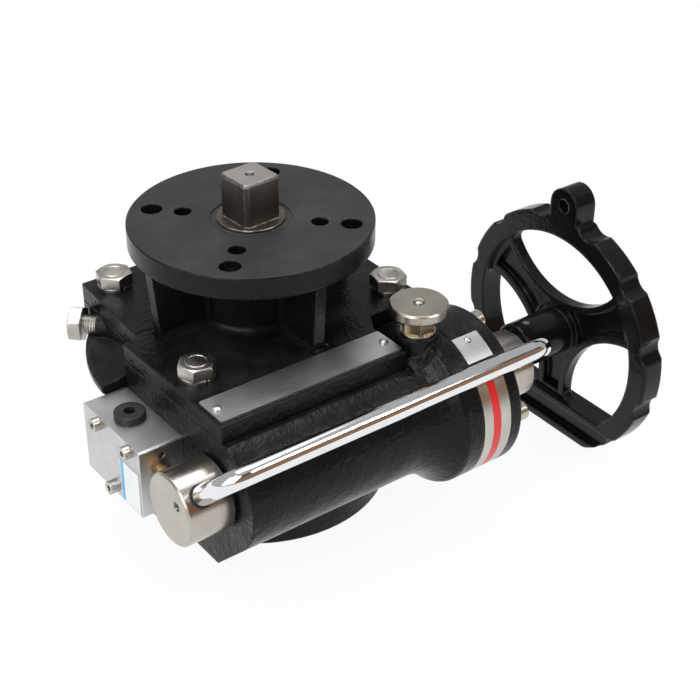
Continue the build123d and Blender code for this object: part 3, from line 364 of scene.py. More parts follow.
# %% Edge wear group
wear_from, wear_full = 0.004, 0.09
patches_per_metre = 260.0
edge_wear, group_in, group_out = new_group("edge wear", [("Radius", 0.001), ("Amount", 1.0)],
                                           ["Edge", "Worn"], ["Normal"])
bevel = add_node(edge_wear, "ShaderNodeBevel", samples=6)
edge_wear.links.new(group_in.outputs["Radius"], bevel.inputs["Radius"])
geometry = add_node(edge_wear, "ShaderNodeNewGeometry")
dot = add_node(edge_wear, "ShaderNodeVectorMath", operation="DOT_PRODUCT")
edge_wear.links.new(bevel.outputs["Normal"], dot.inputs[0])
edge_wear.links.new(geometry.outputs["Normal"], dot.inputs[1])
edge = ramp(edge_wear, math_node(edge_wear, "SUBTRACT", 1.0, dot.outputs["Value"]), wear_from,
            wear_full)
place = add_node(edge_wear, "ShaderNodeTexCoord")
patch = noise_at(edge_wear, place.outputs["Object"], patches_per_metre, 4.0, 0.65)
broken = ramp(edge_wear, patch, 0.42, 0.62)
worn = math_node(edge_wear, "MULTIPLY", edge, broken)
worn = math_node(edge_wear, "MULTIPLY", worn, group_in.outputs["Amount"], clamp=True)
edge_wear.links.new(edge, group_out.inputs["Edge"])
edge_wear.links.new(bevel.outputs["Normal"], group_out.inputs["Normal"])
edge_wear.links.new(worn, group_out.inputs["Worn"])
print("group", edge_wear.name)

# %% [markdown]
# Cast skin
# Sand leaves a skin with a fine grain on long, low waves, and here and there a lump where
# a grain of the mould broke out.  Thick paint rounds them all, which is why a painted
# casting has a broken shine.  The marks are far finer than any mesh could carry, so they
# are heights for a bump: two noises added, and the cells of a Voronoi texture for lumps.

# %% Cast skin group
lumps_per_metre, lump_fields_per_metre = 150.0, 45.0
wave_share = 1.5
cast_skin, group_in, group_out = new_group("cast skin", [("Grain", 420.0), ("Waves", 60.0),
                                                         ("Lumps", 0.6)], ["Height", "Shade"])
place = add_node(cast_skin, "ShaderNodeTexCoord")
grain = noise_at(cast_skin, place.outputs["Object"], group_in.outputs["Grain"], 2.0, 0.55)
waves = noise_at(cast_skin, place.outputs["Object"], group_in.outputs["Waves"], 1.0, 0.4)
cells = add_node(cast_skin, "ShaderNodeTexVoronoi", feature="SMOOTH_F1",
                 inputs={"Scale": lumps_per_metre})
cast_skin.links.new(place.outputs["Object"], cells.inputs["Vector"])
lump = ramp(cast_skin, cells.outputs["Distance"], 0.02, 0.34, 1.0, 0.0)
fields = noise_at(cast_skin, place.outputs["Object"], lump_fields_per_metre, 1.0)
sparse = ramp(cast_skin, fields, 0.52, 0.66)
lump = math_node(cast_skin, "MULTIPLY", math_node(cast_skin, "MULTIPLY", lump, sparse),
                 group_in.outputs["Lumps"])
height = math_node(cast_skin, "MULTIPLY_ADD", waves, wave_share, grain)
height = math_node(cast_skin, "ADD", height, lump)
cast_skin.links.new(height, group_out.inputs["Height"])
cast_skin.links.new(ramp(cast_skin, waves, 0.3, 0.7), group_out.inputs["Shade"])
print("group", cast_skin.name)

# %% [markdown]
# Lathe rings
# A lathe tool leaves rings round the axis, on flat ends as well as on round sides.  A ring
# texture would only suit one axis through the origin.  Here the radius and the place along
# the axis are worked out from any centre and axis, and noise that depends on those two
# alone makes the rings.

# %% Lathe rings group
lathe, group_in, group_out = new_group("lathe rings", [("Centre X", 0.0), ("Centre Y", 0.0),
                                                       ("Centre Z", 0.0), ("Axis X", 1.0),
                                                       ("Axis Y", 0.0), ("Axis Z", 0.0),
                                                       ("Pitch", 900.0)], ["Height", "Streak"])
place = add_node(lathe, "ShaderNodeTexCoord")
centre = add_node(lathe, "ShaderNodeCombineXYZ")
way = add_node(lathe, "ShaderNodeCombineXYZ")
for axis in "XYZ":
    lathe.links.new(group_in.outputs["Centre " + axis], centre.inputs[axis])
    lathe.links.new(group_in.outputs["Axis " + axis], way.inputs[axis])
offset = add_node(lathe, "ShaderNodeVectorMath", operation="SUBTRACT")
lathe.links.new(place.outputs["Object"], offset.inputs[0])
lathe.links.new(centre.outputs[0], offset.inputs[1])
along = add_node(lathe, "ShaderNodeVectorMath", operation="DOT_PRODUCT")
lathe.links.new(offset.outputs[0], along.inputs[0])
lathe.links.new(way.outputs[0], along.inputs[1])
outward = add_node(lathe, "ShaderNodeVectorMath", operation="CROSS_PRODUCT")
lathe.links.new(offset.outputs[0], outward.inputs[0])
lathe.links.new(way.outputs[0], outward.inputs[1])
radius = add_node(lathe, "ShaderNodeVectorMath", operation="LENGTH")
lathe.links.new(outward.outputs[0], radius.inputs[0])
ring_place = add_node(lathe, "ShaderNodeCombineXYZ")
lathe.links.new(radius.outputs["Value"], ring_place.inputs["X"])
lathe.links.new(along.outputs["Value"], ring_place.inputs["Y"])
fine = noise_at(lathe, ring_place.outputs[0], group_in.outputs["Pitch"], 3.0, 0.65)
lathe.links.new(fine, group_out.inputs["Height"])
lathe.links.new(ramp(lathe, fine, 0.3, 0.7), group_out.inputs["Streak"])
print("group", lathe.name)

# %% [markdown]
# Brush marks
# Plates and ground flats are brushed, which leaves fine straight lines.  A wave texture
# would space them too evenly.  Noise that changes quickly across the lines and hardly at
# all along them gives lines of uneven width and length.

# %% Brush marks group
brushed, group_in, group_out = new_group("brush marks", [("Along X", 1.0), ("Along Y", 1.0),
                                                         ("Along Z", 1.0), ("Pitch", 900.0)],
                                         ["Height", "Streak"])
place = add_node(brushed, "ShaderNodeTexCoord")
combine = add_node(brushed, "ShaderNodeCombineXYZ")
for axis in "XYZ":
    brushed.links.new(group_in.outputs["Along " + axis], combine.inputs[axis])
scaled = add_node(brushed, "ShaderNodeVectorMath", operation="MULTIPLY")
brushed.links.new(place.outputs["Object"], scaled.inputs[0])
brushed.links.new(combine.outputs[0], scaled.inputs[1])
fine = noise_at(brushed, scaled.outputs[0], group_in.outputs["Pitch"], 2.0, 0.7)
brushed.links.new(fine, group_out.inputs["Height"])
brushed.links.new(ramp(brushed, fine, 0.3, 0.7), group_out.inputs["Streak"])
print("group", brushed.name)

# %% [markdown]
# Dust and smudge
# Dust settles on what faces up, and fingers leave smudges anywhere.  Both come from one
# cloudy noise, because grease holds dust, and a much finer noise scatters specks.

# %% Dust and smudge group
film, group_in, group_out = new_group("dust and smudge", [("Dust", 0.3), ("Smudge", 0.4)],
                                      ["Dust", "Smudge"])
place = add_node(film, "ShaderNodeTexCoord")
geometry = add_node(film, "ShaderNodeNewGeometry")
parts = add_node(film, "ShaderNodeSeparateXYZ")
film.links.new(geometry.outputs["Normal"], parts.inputs[0])
facing_up = ramp(film, parts.outputs["Z"], 0.3, 1.0)
cloud = noise_at(film, place.outputs["Object"], 38.0, 5.0, 0.62)
specks = noise_at(film, place.outputs["Object"], 1400.0, 1.0, 0.5)
speckle = ramp(film, specks, 0.66, 0.74)
dust = math_node(film, "MULTIPLY", facing_up, ramp(film, cloud, 0.4, 0.75))
dust = math_node(film, "ADD", dust, math_node(film, "MULTIPLY", speckle, 0.5))
dust = math_node(film, "MULTIPLY", dust, group_in.outputs["Dust"], clamp=True)
smudge = math_node(film, "MULTIPLY", ramp(film, cloud, 0.35, 0.6), group_in.outputs["Smudge"],
                   clamp=True)
film.links.new(dust, group_out.inputs["Dust"])
film.links.new(smudge, group_out.inputs["Smudge"])
print("groups", [g.name for g in bpy.data.node_groups])

# %% [markdown]
# Finishes
# Paint, plating, rubber and bare metal differ in their numbers more than in their make, so
# every finish starts from one recipe: a Principled shader whose colour is mixed from the
# clean colour, the colour under the worn edges and the dust, and whose roughness is
# moved by streaks and smudges.  The numbers that are the same all over the surface are
# set on the shader itself.

# %% Recipe of a finish
dust_colour = (0.5, 0.49, 0.46)
dust_share, dust_roughness = 0.35, 0.3
marks_depth, marks_roughness, marks_shadow = 0.0002, 0.06, 0.8
skin_left = 0.25
fade_height = 0.001
facing_from, facing_full, top_below, top_edge = 0.9, 0.98, 0.0003, 0.0001
band_edge, band_ragged, ragged_per_metre = 0.0002, 0.0004, 300.0


def use_group(tree, group, **values):
    """Places a shared group in a material with its own values."""
    node = add_node(tree, "ShaderNodeGroup", node_tree=group)
    for key, value in values.items():
        node.inputs[key.replace("_", " ")].default_value = value
    return node


def finish(name, colour, under, roughness, metallic, shine=0.5, wear=0.5, radius=0.0008,
           rounded=False, dust=0.15, smudge=0.3, spread=0.1, grain=(420.0, 60.0, 0.0), bump=0.0,
           depth=0.0004, marks=None, marks_bump=0.0, marks_share=0.3, mottle=0.15,
           stripe=None, top=None, smooth_above=None):
    """A painted, plated or bare metal finish.  marks places a group of lathe or brush
    marks.  stripe is (axis, low, high, colour) for a painted band.  top is (height,
    colour, roughness) for a flat end that looks up: a machined end in its own colour, and
    on the flange top a lighter colour as a painted reflection of the bright room above.  The
    skin fades away above the height smooth_above."""
    material, tree, output = new_material(name)
    shader = add_node(tree, "ShaderNodeBsdfPrincipled")
    shader.inputs["Metallic"].default_value = metallic
    shader.inputs["Specular IOR Level"].default_value = shine
    edges = use_group(tree, edge_wear, Radius=radius, Amount=wear)
    skin = use_group(tree, cast_skin, Grain=grain[0], Waves=grain[1], Lumps=grain[2])
    dirt = use_group(tree, film, Dust=dust, Smudge=smudge)
    place = add_node(tree, "ShaderNodeTexCoord")
    parts = add_node(tree, "ShaderNodeSeparateXYZ")
    tree.links.new(place.outputs["Object"], parts.inputs[0])
    darker = tuple(c * (1 - mottle) for c in colour)
    lighter = tuple(min(1.0, c * (1 + mottle)) for c in colour)
    base = mix_colour(tree, skin.outputs["Shade"], darker, lighter)
    rough = math_node(tree, "MULTIPLY_ADD", dirt.outputs["Smudge"], spread, roughness)
    rough = math_node(tree, "MULTIPLY_ADD", dirt.outputs["Dust"], dust_roughness, rough)
    skin_height = skin.outputs["Height"]
    if smooth_above is not None:
        fade = ramp(tree, parts.outputs["Z"], smooth_above, smooth_above + fade_height, 1.0,
                    skin_left)
        skin_height = math_node(tree, "MULTIPLY", skin_height, fade)
    heights = [(skin_height, bump, depth)]
    if marks is not None:
        group, values = marks
        lines = use_group(tree, group, **values)
        base = mix_colour(tree, math_node(tree, "MULTIPLY", lines.outputs["Streak"], marks_share),
                          base, tuple(c * marks_shadow for c in colour))
        rough = math_node(tree, "MULTIPLY_ADD", lines.outputs["Streak"], marks_roughness, rough)
        heights.append((lines.outputs["Height"], marks_bump, marks_depth))
    if top is not None:
        # The top colour is an end's own colour; on the flange top it is a painted reflection of the
        # bright room.
        height, top_colour, top_roughness = top
        geometry = add_node(tree, "ShaderNodeNewGeometry")
        facing = add_node(tree, "ShaderNodeSeparateXYZ")
        tree.links.new(geometry.outputs["Normal"], facing.inputs[0])
        flat = math_node(tree, "MULTIPLY",
                         ramp(tree, facing.outputs["Z"], facing_from, facing_full),
                         ramp(tree, parts.outputs["Z"], height - top_below, height - top_edge))
        base = mix_colour(tree, flat, base, top_colour)
        step = math_node(tree, "MULTIPLY", flat, top_roughness - roughness)
        rough = math_node(tree, "ADD", rough, step)
    if stripe is not None:
        axis, low, high, paint = stripe
        ragged = noise_at(tree, place.outputs["Object"], ragged_per_metre)
        along = math_node(tree, "MULTIPLY_ADD", ragged, band_ragged, parts.outputs[axis])
        inside = math_node(tree, "MULTIPLY", ramp(tree, along, low, low + band_edge),
                           ramp(tree, along, high, high + band_edge, 1.0, 0.0))
        base = mix_colour(tree, inside, base, paint)
        plain = math_node(tree, "SUBTRACT", 1.0, inside)
        tree.links.new(math_node(tree, "MULTIPLY", plain, metallic), shader.inputs["Metallic"])
    base = mix_colour(tree, edges.outputs["Worn"], base, under)
    base = mix_colour(tree, math_node(tree, "MULTIPLY", dirt.outputs["Dust"], dust_share), base,
                      dust_colour)
    tree.links.new(base, shader.inputs["Base Color"])
    tree.links.new(rough, shader.inputs["Roughness"])
    normal = edges.outputs["Normal"] if rounded else None
    for value, strength, distance in heights:
        if strength <= 0:
            continue
        bumper = add_node(tree, "ShaderNodeBump", inputs={"Strength": strength,
                                                         "Distance": distance})
        tree.links.new(value, bumper.inputs["Height"])
        if normal is not None:
            tree.links.new(normal, bumper.inputs["Normal"])
        normal = bumper.outputs["Normal"]
    if normal is not None:
        tree.links.new(normal, shader.inputs["Normal"])
    tree.links.new(shader.outputs[0], output.inputs["Surface"])
    return material


# %% Marks and centres
def rings(axis, centre, pitch=900.0):
    """Lathe rings round an axis letter through a centre, with fine rings per metre."""
    values = {"Pitch": pitch}
    for letter, value in zip("XYZ", centre):
        values["Centre_" + letter] = float(value)
        values["Axis_" + letter] = 1.0 if letter == axis else 0.0
    return lathe, values


def brush(lines_along, pitch=900.0, stretch=0.02):
    """Straight brush lines that run along an axis letter, where the noise is stretched."""
    values = {"Pitch": pitch}
    for letter in "XYZ":
        values["Along_" + letter] = stretch if letter == lines_along else 1.0
    return brushed, values


def centre_of(node):
    """The middle of a node's box."""
    low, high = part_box(node)
    return (np.array(low) + np.array(high)) / 2


tube_axis = centre_of("end_cover")
worm_axis = centre_of("handwheel_washer")
knob_axis = centre_of("lever_knob")
plunger_axis = centre_of("index_plunger")
print("tube axis", np.round(tube_axis, 4), "knob axis", np.round(knob_axis, 4))

# %% [markdown]
# Paint, rubber and label
# The castings wear thick black enamel.  Black paint can be made dark with a dark colour
# alone, but a normal shine would still wash it grey under soft boxes, so its shine is low
# and the small lamps give the glints.  The flange's top is machined and painted thin, so
# it is satin, and its colour is painted a little lighter than the skin beside it as a
# painted reflection of the bright room above.

# %% Paint and plastic
iron_grey = (0.10, 0.098, 0.095)
# The middle black is a painted reflection of the bright room above, used on the flange top.
enamel_black, sky_reflection_black, wheel_black = ((0.0055, 0.0055, 0.0063), (0.026, 0.027, 0.030),
                                          (0.0045, 0.0045, 0.005))
label_blue, label_band = (0.10, 0.38, 0.66), (-0.0320, -0.0292)
flange_thickness = 0.0125
flange_top_z = float(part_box("case_cover")[1][2])
flange_low_z = flange_top_z - flange_thickness
case_paint = finish("black case enamel", enamel_black, iron_grey, 0.22, 0.0,
                    shine=0.17, wear=0.22, radius=0.0018, rounded=True, bump=0.5, depth=0.0009,
                    grain=(360.0, 60.0, 0.5), dust=0.07, smudge=0.5, spread=0.12)
# The flange top takes the lighter black as a painted reflection of the room above, and the higher
# roughness of real satin.
cover_paint = finish("black cover enamel", enamel_black, iron_grey, 0.22, 0.0,
                     shine=0.17, wear=0.22, radius=0.0014, rounded=True, bump=0.38, depth=0.0009,
                     grain=(360.0, 50.0, 0.4), dust=0.08, smudge=0.5, spread=0.12,
                     top=(flange_top_z, sky_reflection_black, 0.30), smooth_above=flange_low_z)
cove_paint = finish("black fillet enamel", enamel_black, iron_grey, 0.22, 0.0,
                    shine=0.17, wear=0.0, bump=0.38, depth=0.0009, grain=(360.0, 50.0, 0.4),
                    dust=0.08, smudge=0.5, spread=0.12)
wheel_paint = finish("gloss wheel enamel", wheel_black, iron_grey, 0.15, 0.0,
                     shine=0.22, wear=0.1, radius=0.0018, rounded=True, bump=0.16, depth=0.0008,
                     grain=(300.0, 60.0, 0.2), dust=0.03, smudge=0.4)
fitting_plastic = finish("fitting plastic", (0.02, 0.02, 0.024), (0.05, 0.05, 0.05), 0.38, 0.0,
                         shine=0.3, wear=0.3, bump=0.08)
rubber_finish = finish("seal rubber", (0.02, 0.02, 0.02), (0.06, 0.06, 0.06), 0.6, 0.0,
                       shine=0.3, bump=0.1)
fibre_finish = finish("gasket fibre", (0.05, 0.055, 0.05), (0.08, 0.08, 0.08), 0.8, 0.0,
                      grain=(1500.0, 300.0, 0.0), bump=0.3)
label_finish = finish("white label film", (0.72, 0.74, 0.75), (0.6, 0.6, 0.6), 0.35, 0.0,
                      wear=0.2, mottle=0.03, dust=0.05,
                      stripe=("Y", *label_band, label_blue))
print("paints", [m.name for m in (case_paint, cover_paint, cove_paint, wheel_paint)])

# %% [markdown]
# Metals
# Chrome, nickel, zinc, brass and aluminium are told apart by their tint, their roughness
# and the marks of how they were made: turned pieces have rings, plates have brush lines
# and blasted ones a fine grain.  A metal mirrors the white room, so a base colour near
# half gives the mid grey that plating has to the eye.

# %% Metals
warm_nickel = (0.50, 0.465, 0.42)
brown_trace = (0.26, 0.19, 0.13)
ring_red, ring_band = (0.62, 0.012, 0.01), (0.0625, 0.0675)
shaft_top_z = float(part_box("drive_shaft")[1][2])
chrome_finish = finish("polished chrome", (0.82, 0.83, 0.85), (0.7, 0.7, 0.7), 0.06, 1.0,
                       wear=0.0, dust=0.03, smudge=0.5, spread=0.08, mottle=0.02)
nickel_finish = finish("turned nickel", warm_nickel, brown_trace, 0.19, 1.0, wear=0.6,
                       rounded=True, radius=0.0006, dust=0.03, smudge=0.5, spread=0.08,
                       mottle=0.05, marks=rings("X", knob_axis, 700.0), marks_bump=0.04,
                       marks_share=0.15)
ring_finish = finish("index ring", (0.56, 0.53, 0.49), brown_trace, 0.25, 1.0, wear=0.8,
                     radius=0.0007, dust=0.05, smudge=0.5, mottle=0.08,
                     marks=rings("X", tube_axis, 900.0), marks_bump=0.12,
                     stripe=("X", *ring_band, ring_red))
screw_finish = finish("warm screw plating", warm_nickel, brown_trace, 0.25, 1.0, wear=0.6,
                      rounded=True, radius=0.0006, dust=0.05, smudge=0.6, mottle=0.12, bump=0.08)
plunger_finish = finish("turned plunger", (0.47, 0.43, 0.37), (0.3, 0.24, 0.18), 0.24, 1.0,
                        wear=0.5, rounded=True, radius=0.0005, dust=0.06, smudge=0.5, mottle=0.08,
                        marks=rings("Z", plunger_axis, 1100.0), marks_bump=0.2, marks_share=0.5)
brass_finish = finish("aged brass", (0.34, 0.27, 0.17), brown_trace, 0.24, 1.0, wear=0.5,
                      rounded=True, radius=0.0005, dust=0.06, smudge=0.5, mottle=0.1, bump=0.06)
bolt_finish = finish("zinc plated bolt", (0.52, 0.50, 0.46), (0.2, 0.18, 0.16), 0.26, 1.0,
                     wear=0.4, rounded=True, radius=0.0007, dust=0.15, smudge=0.7, spread=0.16,
                     bump=0.15, grain=(500.0, 120.0, 0.0), mottle=0.2)
steel_finish = finish("plain steel", (0.42, 0.41, 0.40), (0.3, 0.3, 0.3), 0.28, 1.0,
                      marks=rings("X", worm_axis, 900.0), marks_bump=0.12, wear=0.3)
shaft_finish = finish("oiled shaft steel", (0.15, 0.132, 0.115), (0.5, 0.48, 0.46), 0.33, 1.0,
                      wear=0.9, radius=0.0012, rounded=True, bump=0.1, mottle=0.25,
                      marks=brush("Z", 700.0), marks_bump=0.15,
                      top=(shaft_top_z, (0.42, 0.39, 0.37), 0.4))
bronze_finish = finish("bronze", (0.62, 0.40, 0.18), (0.75, 0.55, 0.3), 0.28, 1.0, bump=0.1)
block_finish = finish("blasted aluminium", (0.60, 0.605, 0.61), (0.68, 0.68, 0.68), 0.33, 1.0,
                      wear=0.7, radius=0.0006, rounded=True, bump=0.22, mottle=0.05, dust=0.05,
                      grain=(2600.0, 80.0, 0.0))
plate_finish = finish("anodised plate", (0.60, 0.60, 0.605), (0.72, 0.72, 0.72), 0.32, 1.0,
                      wear=0.7, radius=0.0004, marks=brush("X", 2600.0), marks_bump=0.05,
                      marks_share=0.25, mottle=0.08, dust=0.08)
print("materials", len(bpy.data.materials))

# %% [markdown]
# Which piece has which finish
# The solids stay as they were packed.  Each node only gets a material in its slot, so one
# table of names says how the whole part is finished.

# %% Finish of each node
finish_of = {
    "gear_case": case_paint, "case_cover": cover_paint, "end_cover": case_paint,
    "handwheel": wheel_paint, "cover_gasket": fibre_finish, "cover_bolts": bolt_finish,
    "spring_washers": bolt_finish, "stop_bolts": bolt_finish, "drive_shaft": shaft_finish,
    "shaft_keys": steel_finish, "lower_shaft_bush": bronze_finish,
    "lower_shaft_seal": rubber_finish, "upper_shaft_bush": bronze_finish,
    "upper_shaft_seal": rubber_finish, "worm_wheel": bronze_finish, "worm": steel_finish,
    "worm_pin": steel_finish, "input_shaft": steel_finish, "input_bushes": bronze_finish,
    "input_seal": rubber_finish, "eccentric_sleeve": nickel_finish,
    "lever_knob": nickel_finish, "lever_rod": chrome_finish,
    "lever_grub_screws": steel_finish, "index_ring": ring_finish,
    "end_cover_screws": screw_finish, "position_plate": plate_finish,
    "plunger_body": brass_finish, "plunger_washer": bolt_finish,
    "index_plunger": plunger_finish, "plunger_spring": steel_finish,
    "name_plate": plate_finish, "name_plate_rivets": block_finish,
    "valve_block": block_finish, "valve_screws": bolt_finish,
    "valve_fitting": fitting_plastic, "valve_plunger": bronze_finish,
    "valve_label": label_finish, "handwheel_pin": steel_finish,
    "handwheel_screw": bolt_finish, "handwheel_washer": bolt_finish,
}
for name, thing in nodes.items():
    thing.data.materials.clear()
    thing.data.materials.append(finish_of[name])
print("finished nodes", len(finish_of))

# %% [markdown]
# Small shapes
# Threads, rivet heads and the fillets of the castings are too small for the solids.  They
# could be cut with booleans, but those leave ragged shading.  Each is a surface on a numpy
# grid instead: a shape is a function of two parameters, worked out as whole arrays, and
# given to a mesh that rides on the body it belongs to.

# %% Mesh makers
mm = 0.001


def grid_faces(rows, columns, wrap=False, first=0):
    """Quads between neighbouring rows and columns of a grid of points, wrapped round
    the columns where the surface closes on itself."""
    row, column = np.meshgrid(np.arange(rows - 1), np.arange(columns if wrap else columns - 1),
                              indexing="ij")
    after = (column + 1) % columns
    corners = (row * columns + column, row * columns + after,
               (row + 1) * columns + after, (row + 1) * columns + column)
    return np.stack(corners, axis=-1).reshape(-1, 4) + first


def join_grids(grids):
    """Points and quads of several grids, numbered on from one another."""
    points, faces, count = [], [], 0
    for grid, wrap in grids:
        rows, columns = grid.shape[:2]
        points.append(grid.reshape(-1, 3))
        faces.append(grid_faces(rows, columns, wrap, count))
        count += rows * columns
    return np.concatenate(points), np.concatenate(faces)


def make_piece(name, grids, body, material):
    """A smooth mesh object at the origin from a list of (grid in metres, wrap) pairs."""
    points, faces = join_grids(grids)
    mesh = bpy.data.meshes.new(name)
    mesh.from_pydata(points.tolist(), [], faces.tolist())
    mesh.polygons.foreach_set("use_smooth", np.full(len(mesh.polygons), True))
    mesh.materials.append(material)
    mesh.update()
    thing = bpy.data.objects.new(name, mesh)
    bpy.context.scene.collection.objects.link(thing)
    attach(thing, body)
    print(name, "faces", len(faces))
    return thing


def axes_across(way):
    """Two unit vectors square to a direction and to each other."""
    way = np.array(way, float) / np.linalg.norm(way)
    start = np.array((0.0, 0.0, 1.0)) if abs(way[2]) < 0.9 else np.array((1.0, 0.0, 0.0))
    first = np.cross(start, way)
    first /= np.linalg.norm(first)
    return first, np.cross(way, first), way


def spoke(angle, first, second):
    """The unit vector at an angle between two square axes: the cosine of the angle along
    the first and its sine along the second."""
    return np.cos(angle)[..., None] * first + np.sin(angle)[..., None] * second


def tube_grid(line, radius, first, second, count):
    """A tube round a centre line: at each point of the line a circle of spokes between
    the first and second axes there, drawn with the radius."""
    around = np.linspace(0, 2 * np.pi, count, endpoint=False)
    return line[:, None, :] + radius * spoke(around[None, :], first[:, None, :],
                                             second[:, None, :])


def box_mm(node):
    """The low and high corner of a node's box, in millimetres."""
    return (np.array(corner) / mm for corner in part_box(node))


print("mesh makers ready")

# %% [markdown]
# Stop bolt threads
# Two long bolts limit the quarter turn, and a few turns of thread show between the boss
# on the case and each head.  A stack of rings would do from afar, but a true thread climbs, and its
# ridge catches the light at a slant.  So the radius of a tube is a wave whose phase
# follows both the distance and the turn.

# %% Stop bolt threads
def thread_grid(start, way, length, root, depth, pitch):
    """Around and along the bolt the radius is the root plus the depth times a ridge
    wave, whose phase is the distance over the pitch less the turn about the axis."""
    first, second, way = axes_across(way)
    steps, turns = int(length / pitch * 10) + 1, 48
    along, angle = np.meshgrid(np.linspace(0, length, steps),
                               np.linspace(0, 2 * np.pi, turns, endpoint=False), indexing="ij")
    phase = (along / pitch - angle / (2 * np.pi)) % 1.0
    radius = root + depth * np.clip(1.5 - 3.0 * np.abs(phase - 0.5), 0.0, 1.0)
    ring = spoke(angle, first, second)
    return (np.array(start) + along[..., None] * way + radius[..., None] * ring) * mm


stop_reach, stop_turn, stop_level = 55.0, 7.0, 85.5
thread_from, thread_shown = 26.5, 8.4
thread_root, thread_depth, thread_pitch = 5.03, 0.42, 1.5
stop_threads = []
for side in (-1, 1):
    way = np.array((side, 1.0, 0.0)) / math.sqrt(2)
    tip = np.array((side * (stop_reach + stop_turn), stop_reach - stop_turn, 0.0)) / math.sqrt(2)
    start = tip + way * thread_from + np.array((0.0, 0.0, stop_level))
    stop_threads.append((thread_grid(start, way, thread_shown, thread_root, thread_depth,
                                     thread_pitch), True))
make_piece("stop_bolt_threads", stop_threads, "base", bolt_finish)

# %% [markdown]
# Rivet heads
# The name plate and the position plate are held by small round-headed rivets.  A sphere
# cut in half would be too tall.  A quarter arc with a radius and a height of its own,
# turned round the rivet's axis, gives the low head, and it can face any way.  The
# position plate is bent round the end of the case, so its rivet leans with it.

# %% Rivet heads
def dome_grid(centre, way, radius, height):
    """Rings of an arc whose radius falls with the cosine and whose height rises with
    the sine of a quarter turn."""
    first, second, way = axes_across(way)
    rise, angle = np.meshgrid(np.linspace(0, np.pi / 2, 9),
                              np.linspace(0, 2 * np.pi, 32, endpoint=False), indexing="ij")
    ring = spoke(angle, first, second)
    return (np.array(centre) + (radius * np.cos(rise))[..., None] * ring
            + (height * np.sin(rise))[..., None] * way) * mm


upright = np.array((0.0, 0.0, 1.0))
rivet_radius, rivet_height = 2.3, 0.8
rivet_low, rivet_high = box_mm("name_plate_rivets")
plate_rivets = []
for x in (rivet_low[0] + rivet_radius, rivet_high[0] - rivet_radius):
    centre = (x, (rivet_low[1] + rivet_high[1]) / 2, rivet_high[2])
    plate_rivets.append((dome_grid(centre, upright, rivet_radius, rivet_height), True))
make_piece("name_plate_rivet_heads", plate_rivets, "base", block_finish)

sign_low, sign_high = box_mm("position_plate")
sign_radius, sign_rivet_in = 43.6, 8.0
sign_rivet_radius, sign_rivet_height = 1.9, 1.1
sign_angle = math.radians(112.5)
sign_way = np.array((0.0, math.cos(sign_angle), math.sin(sign_angle)))
sign_centre = np.array((sign_low[0] + sign_rivet_in, tube_axis[1] / mm, tube_axis[2] / mm))
print("position plate", np.round(sign_low, 1), np.round(sign_high, 1))
make_piece("position_plate_rivet",
           [(dome_grid(sign_centre + sign_way * sign_radius, sign_way, sign_rivet_radius,
                       sign_rivet_height), True)], "base", block_finish)

# %% [markdown]
# Plunger centre and bolt head marks
# The disc that is pulled to free the lever has the low end of its stem at the centre, and
# a forged bolt head carries a faint raised ring.  Both could be bump alone, but a metal's
# reflection bends on a real rise.  The first is a dome again, and the second is half a
# small circle carried round a large one.

# %% Plunger centre and bolt head marks
def ring_grid(centre, major, minor, lift):
    """A ring lying flat: round the centre at the major radius, with a section that is
    minor wide and lift high."""
    turn, section = np.meshgrid(np.linspace(0, 2 * np.pi, 41), np.linspace(0, np.pi, 9),
                                indexing="ij")
    reach = major + minor * np.cos(section)
    return (np.array(centre) + np.stack((reach * np.cos(turn), reach * np.sin(turn),
                                         lift * np.sin(section)), axis=-1)) * mm


stem_radius, stem_height = 2.4, 0.9
plunger_low, plunger_high = box_mm("index_plunger")
plunger_top = np.append((plunger_low + plunger_high)[:2] / 2, plunger_high[2])
make_piece("plunger_centre", [(dome_grid(plunger_top, upright, stem_radius, stem_height), True)],
           "plunger", plunger_finish)
mark_radius, mark_half, mark_height = 5.2, 0.5, 0.35
bolt_places = [(-49.5, 57.0), (-60.5, -41.6), (64.9, -30.0), (49.5, 57.0)]
bolt_top = list(box_mm("cover_bolts"))[1][2]
make_piece("bolt_head_marks",
           [(ring_grid((x, y, bolt_top), mark_radius, mark_half, mark_height), False)
            for x, y in bolt_places], "base", bolt_finish)

# %% [markdown]
# Fillets of the pedestal
# Four webs and a hub carry the round flange, and a casting never has a sharp inner
# corner: the sand would wash away there.  Each corner gets a strip whose section is a
# quarter of a circle, hollow side out.  One function carries it along a straight line and
# one round the hub, and both sink into the walls where they meet.

# %% Fillets of the pedestal
def cove_grid(start, end, side, over, size):
    """A concave quarter arc between two walls, carried from start to end.  Its points
    lie at size times one less the sine along the first wall and one less the cosine
    along the second."""
    start, end, side, over = (np.array(v, float) for v in (start, end, side, over))
    along, turn = np.meshgrid(np.linspace(0, 1, 2), np.linspace(0, np.pi / 2, 9), indexing="ij")
    line = start + along[..., None] * (end - start)
    return (line + (size * (1 - np.sin(turn)))[..., None] * side
            + (size * (1 - np.cos(turn)))[..., None] * over) * mm


def cove_ring(radius, height, size, outward=1, over=1):
    """The same arc carried round the upright axis."""
    angle, turn = np.meshgrid(np.linspace(0, 2 * np.pi, 121), np.linspace(0, np.pi / 2, 9),
                              indexing="ij")
    reach = radius + outward * size * (1 - np.sin(turn))
    return np.stack((reach * np.cos(angle), reach * np.sin(angle),
                     height + over * size * (1 - np.cos(turn))), axis=-1) * mm


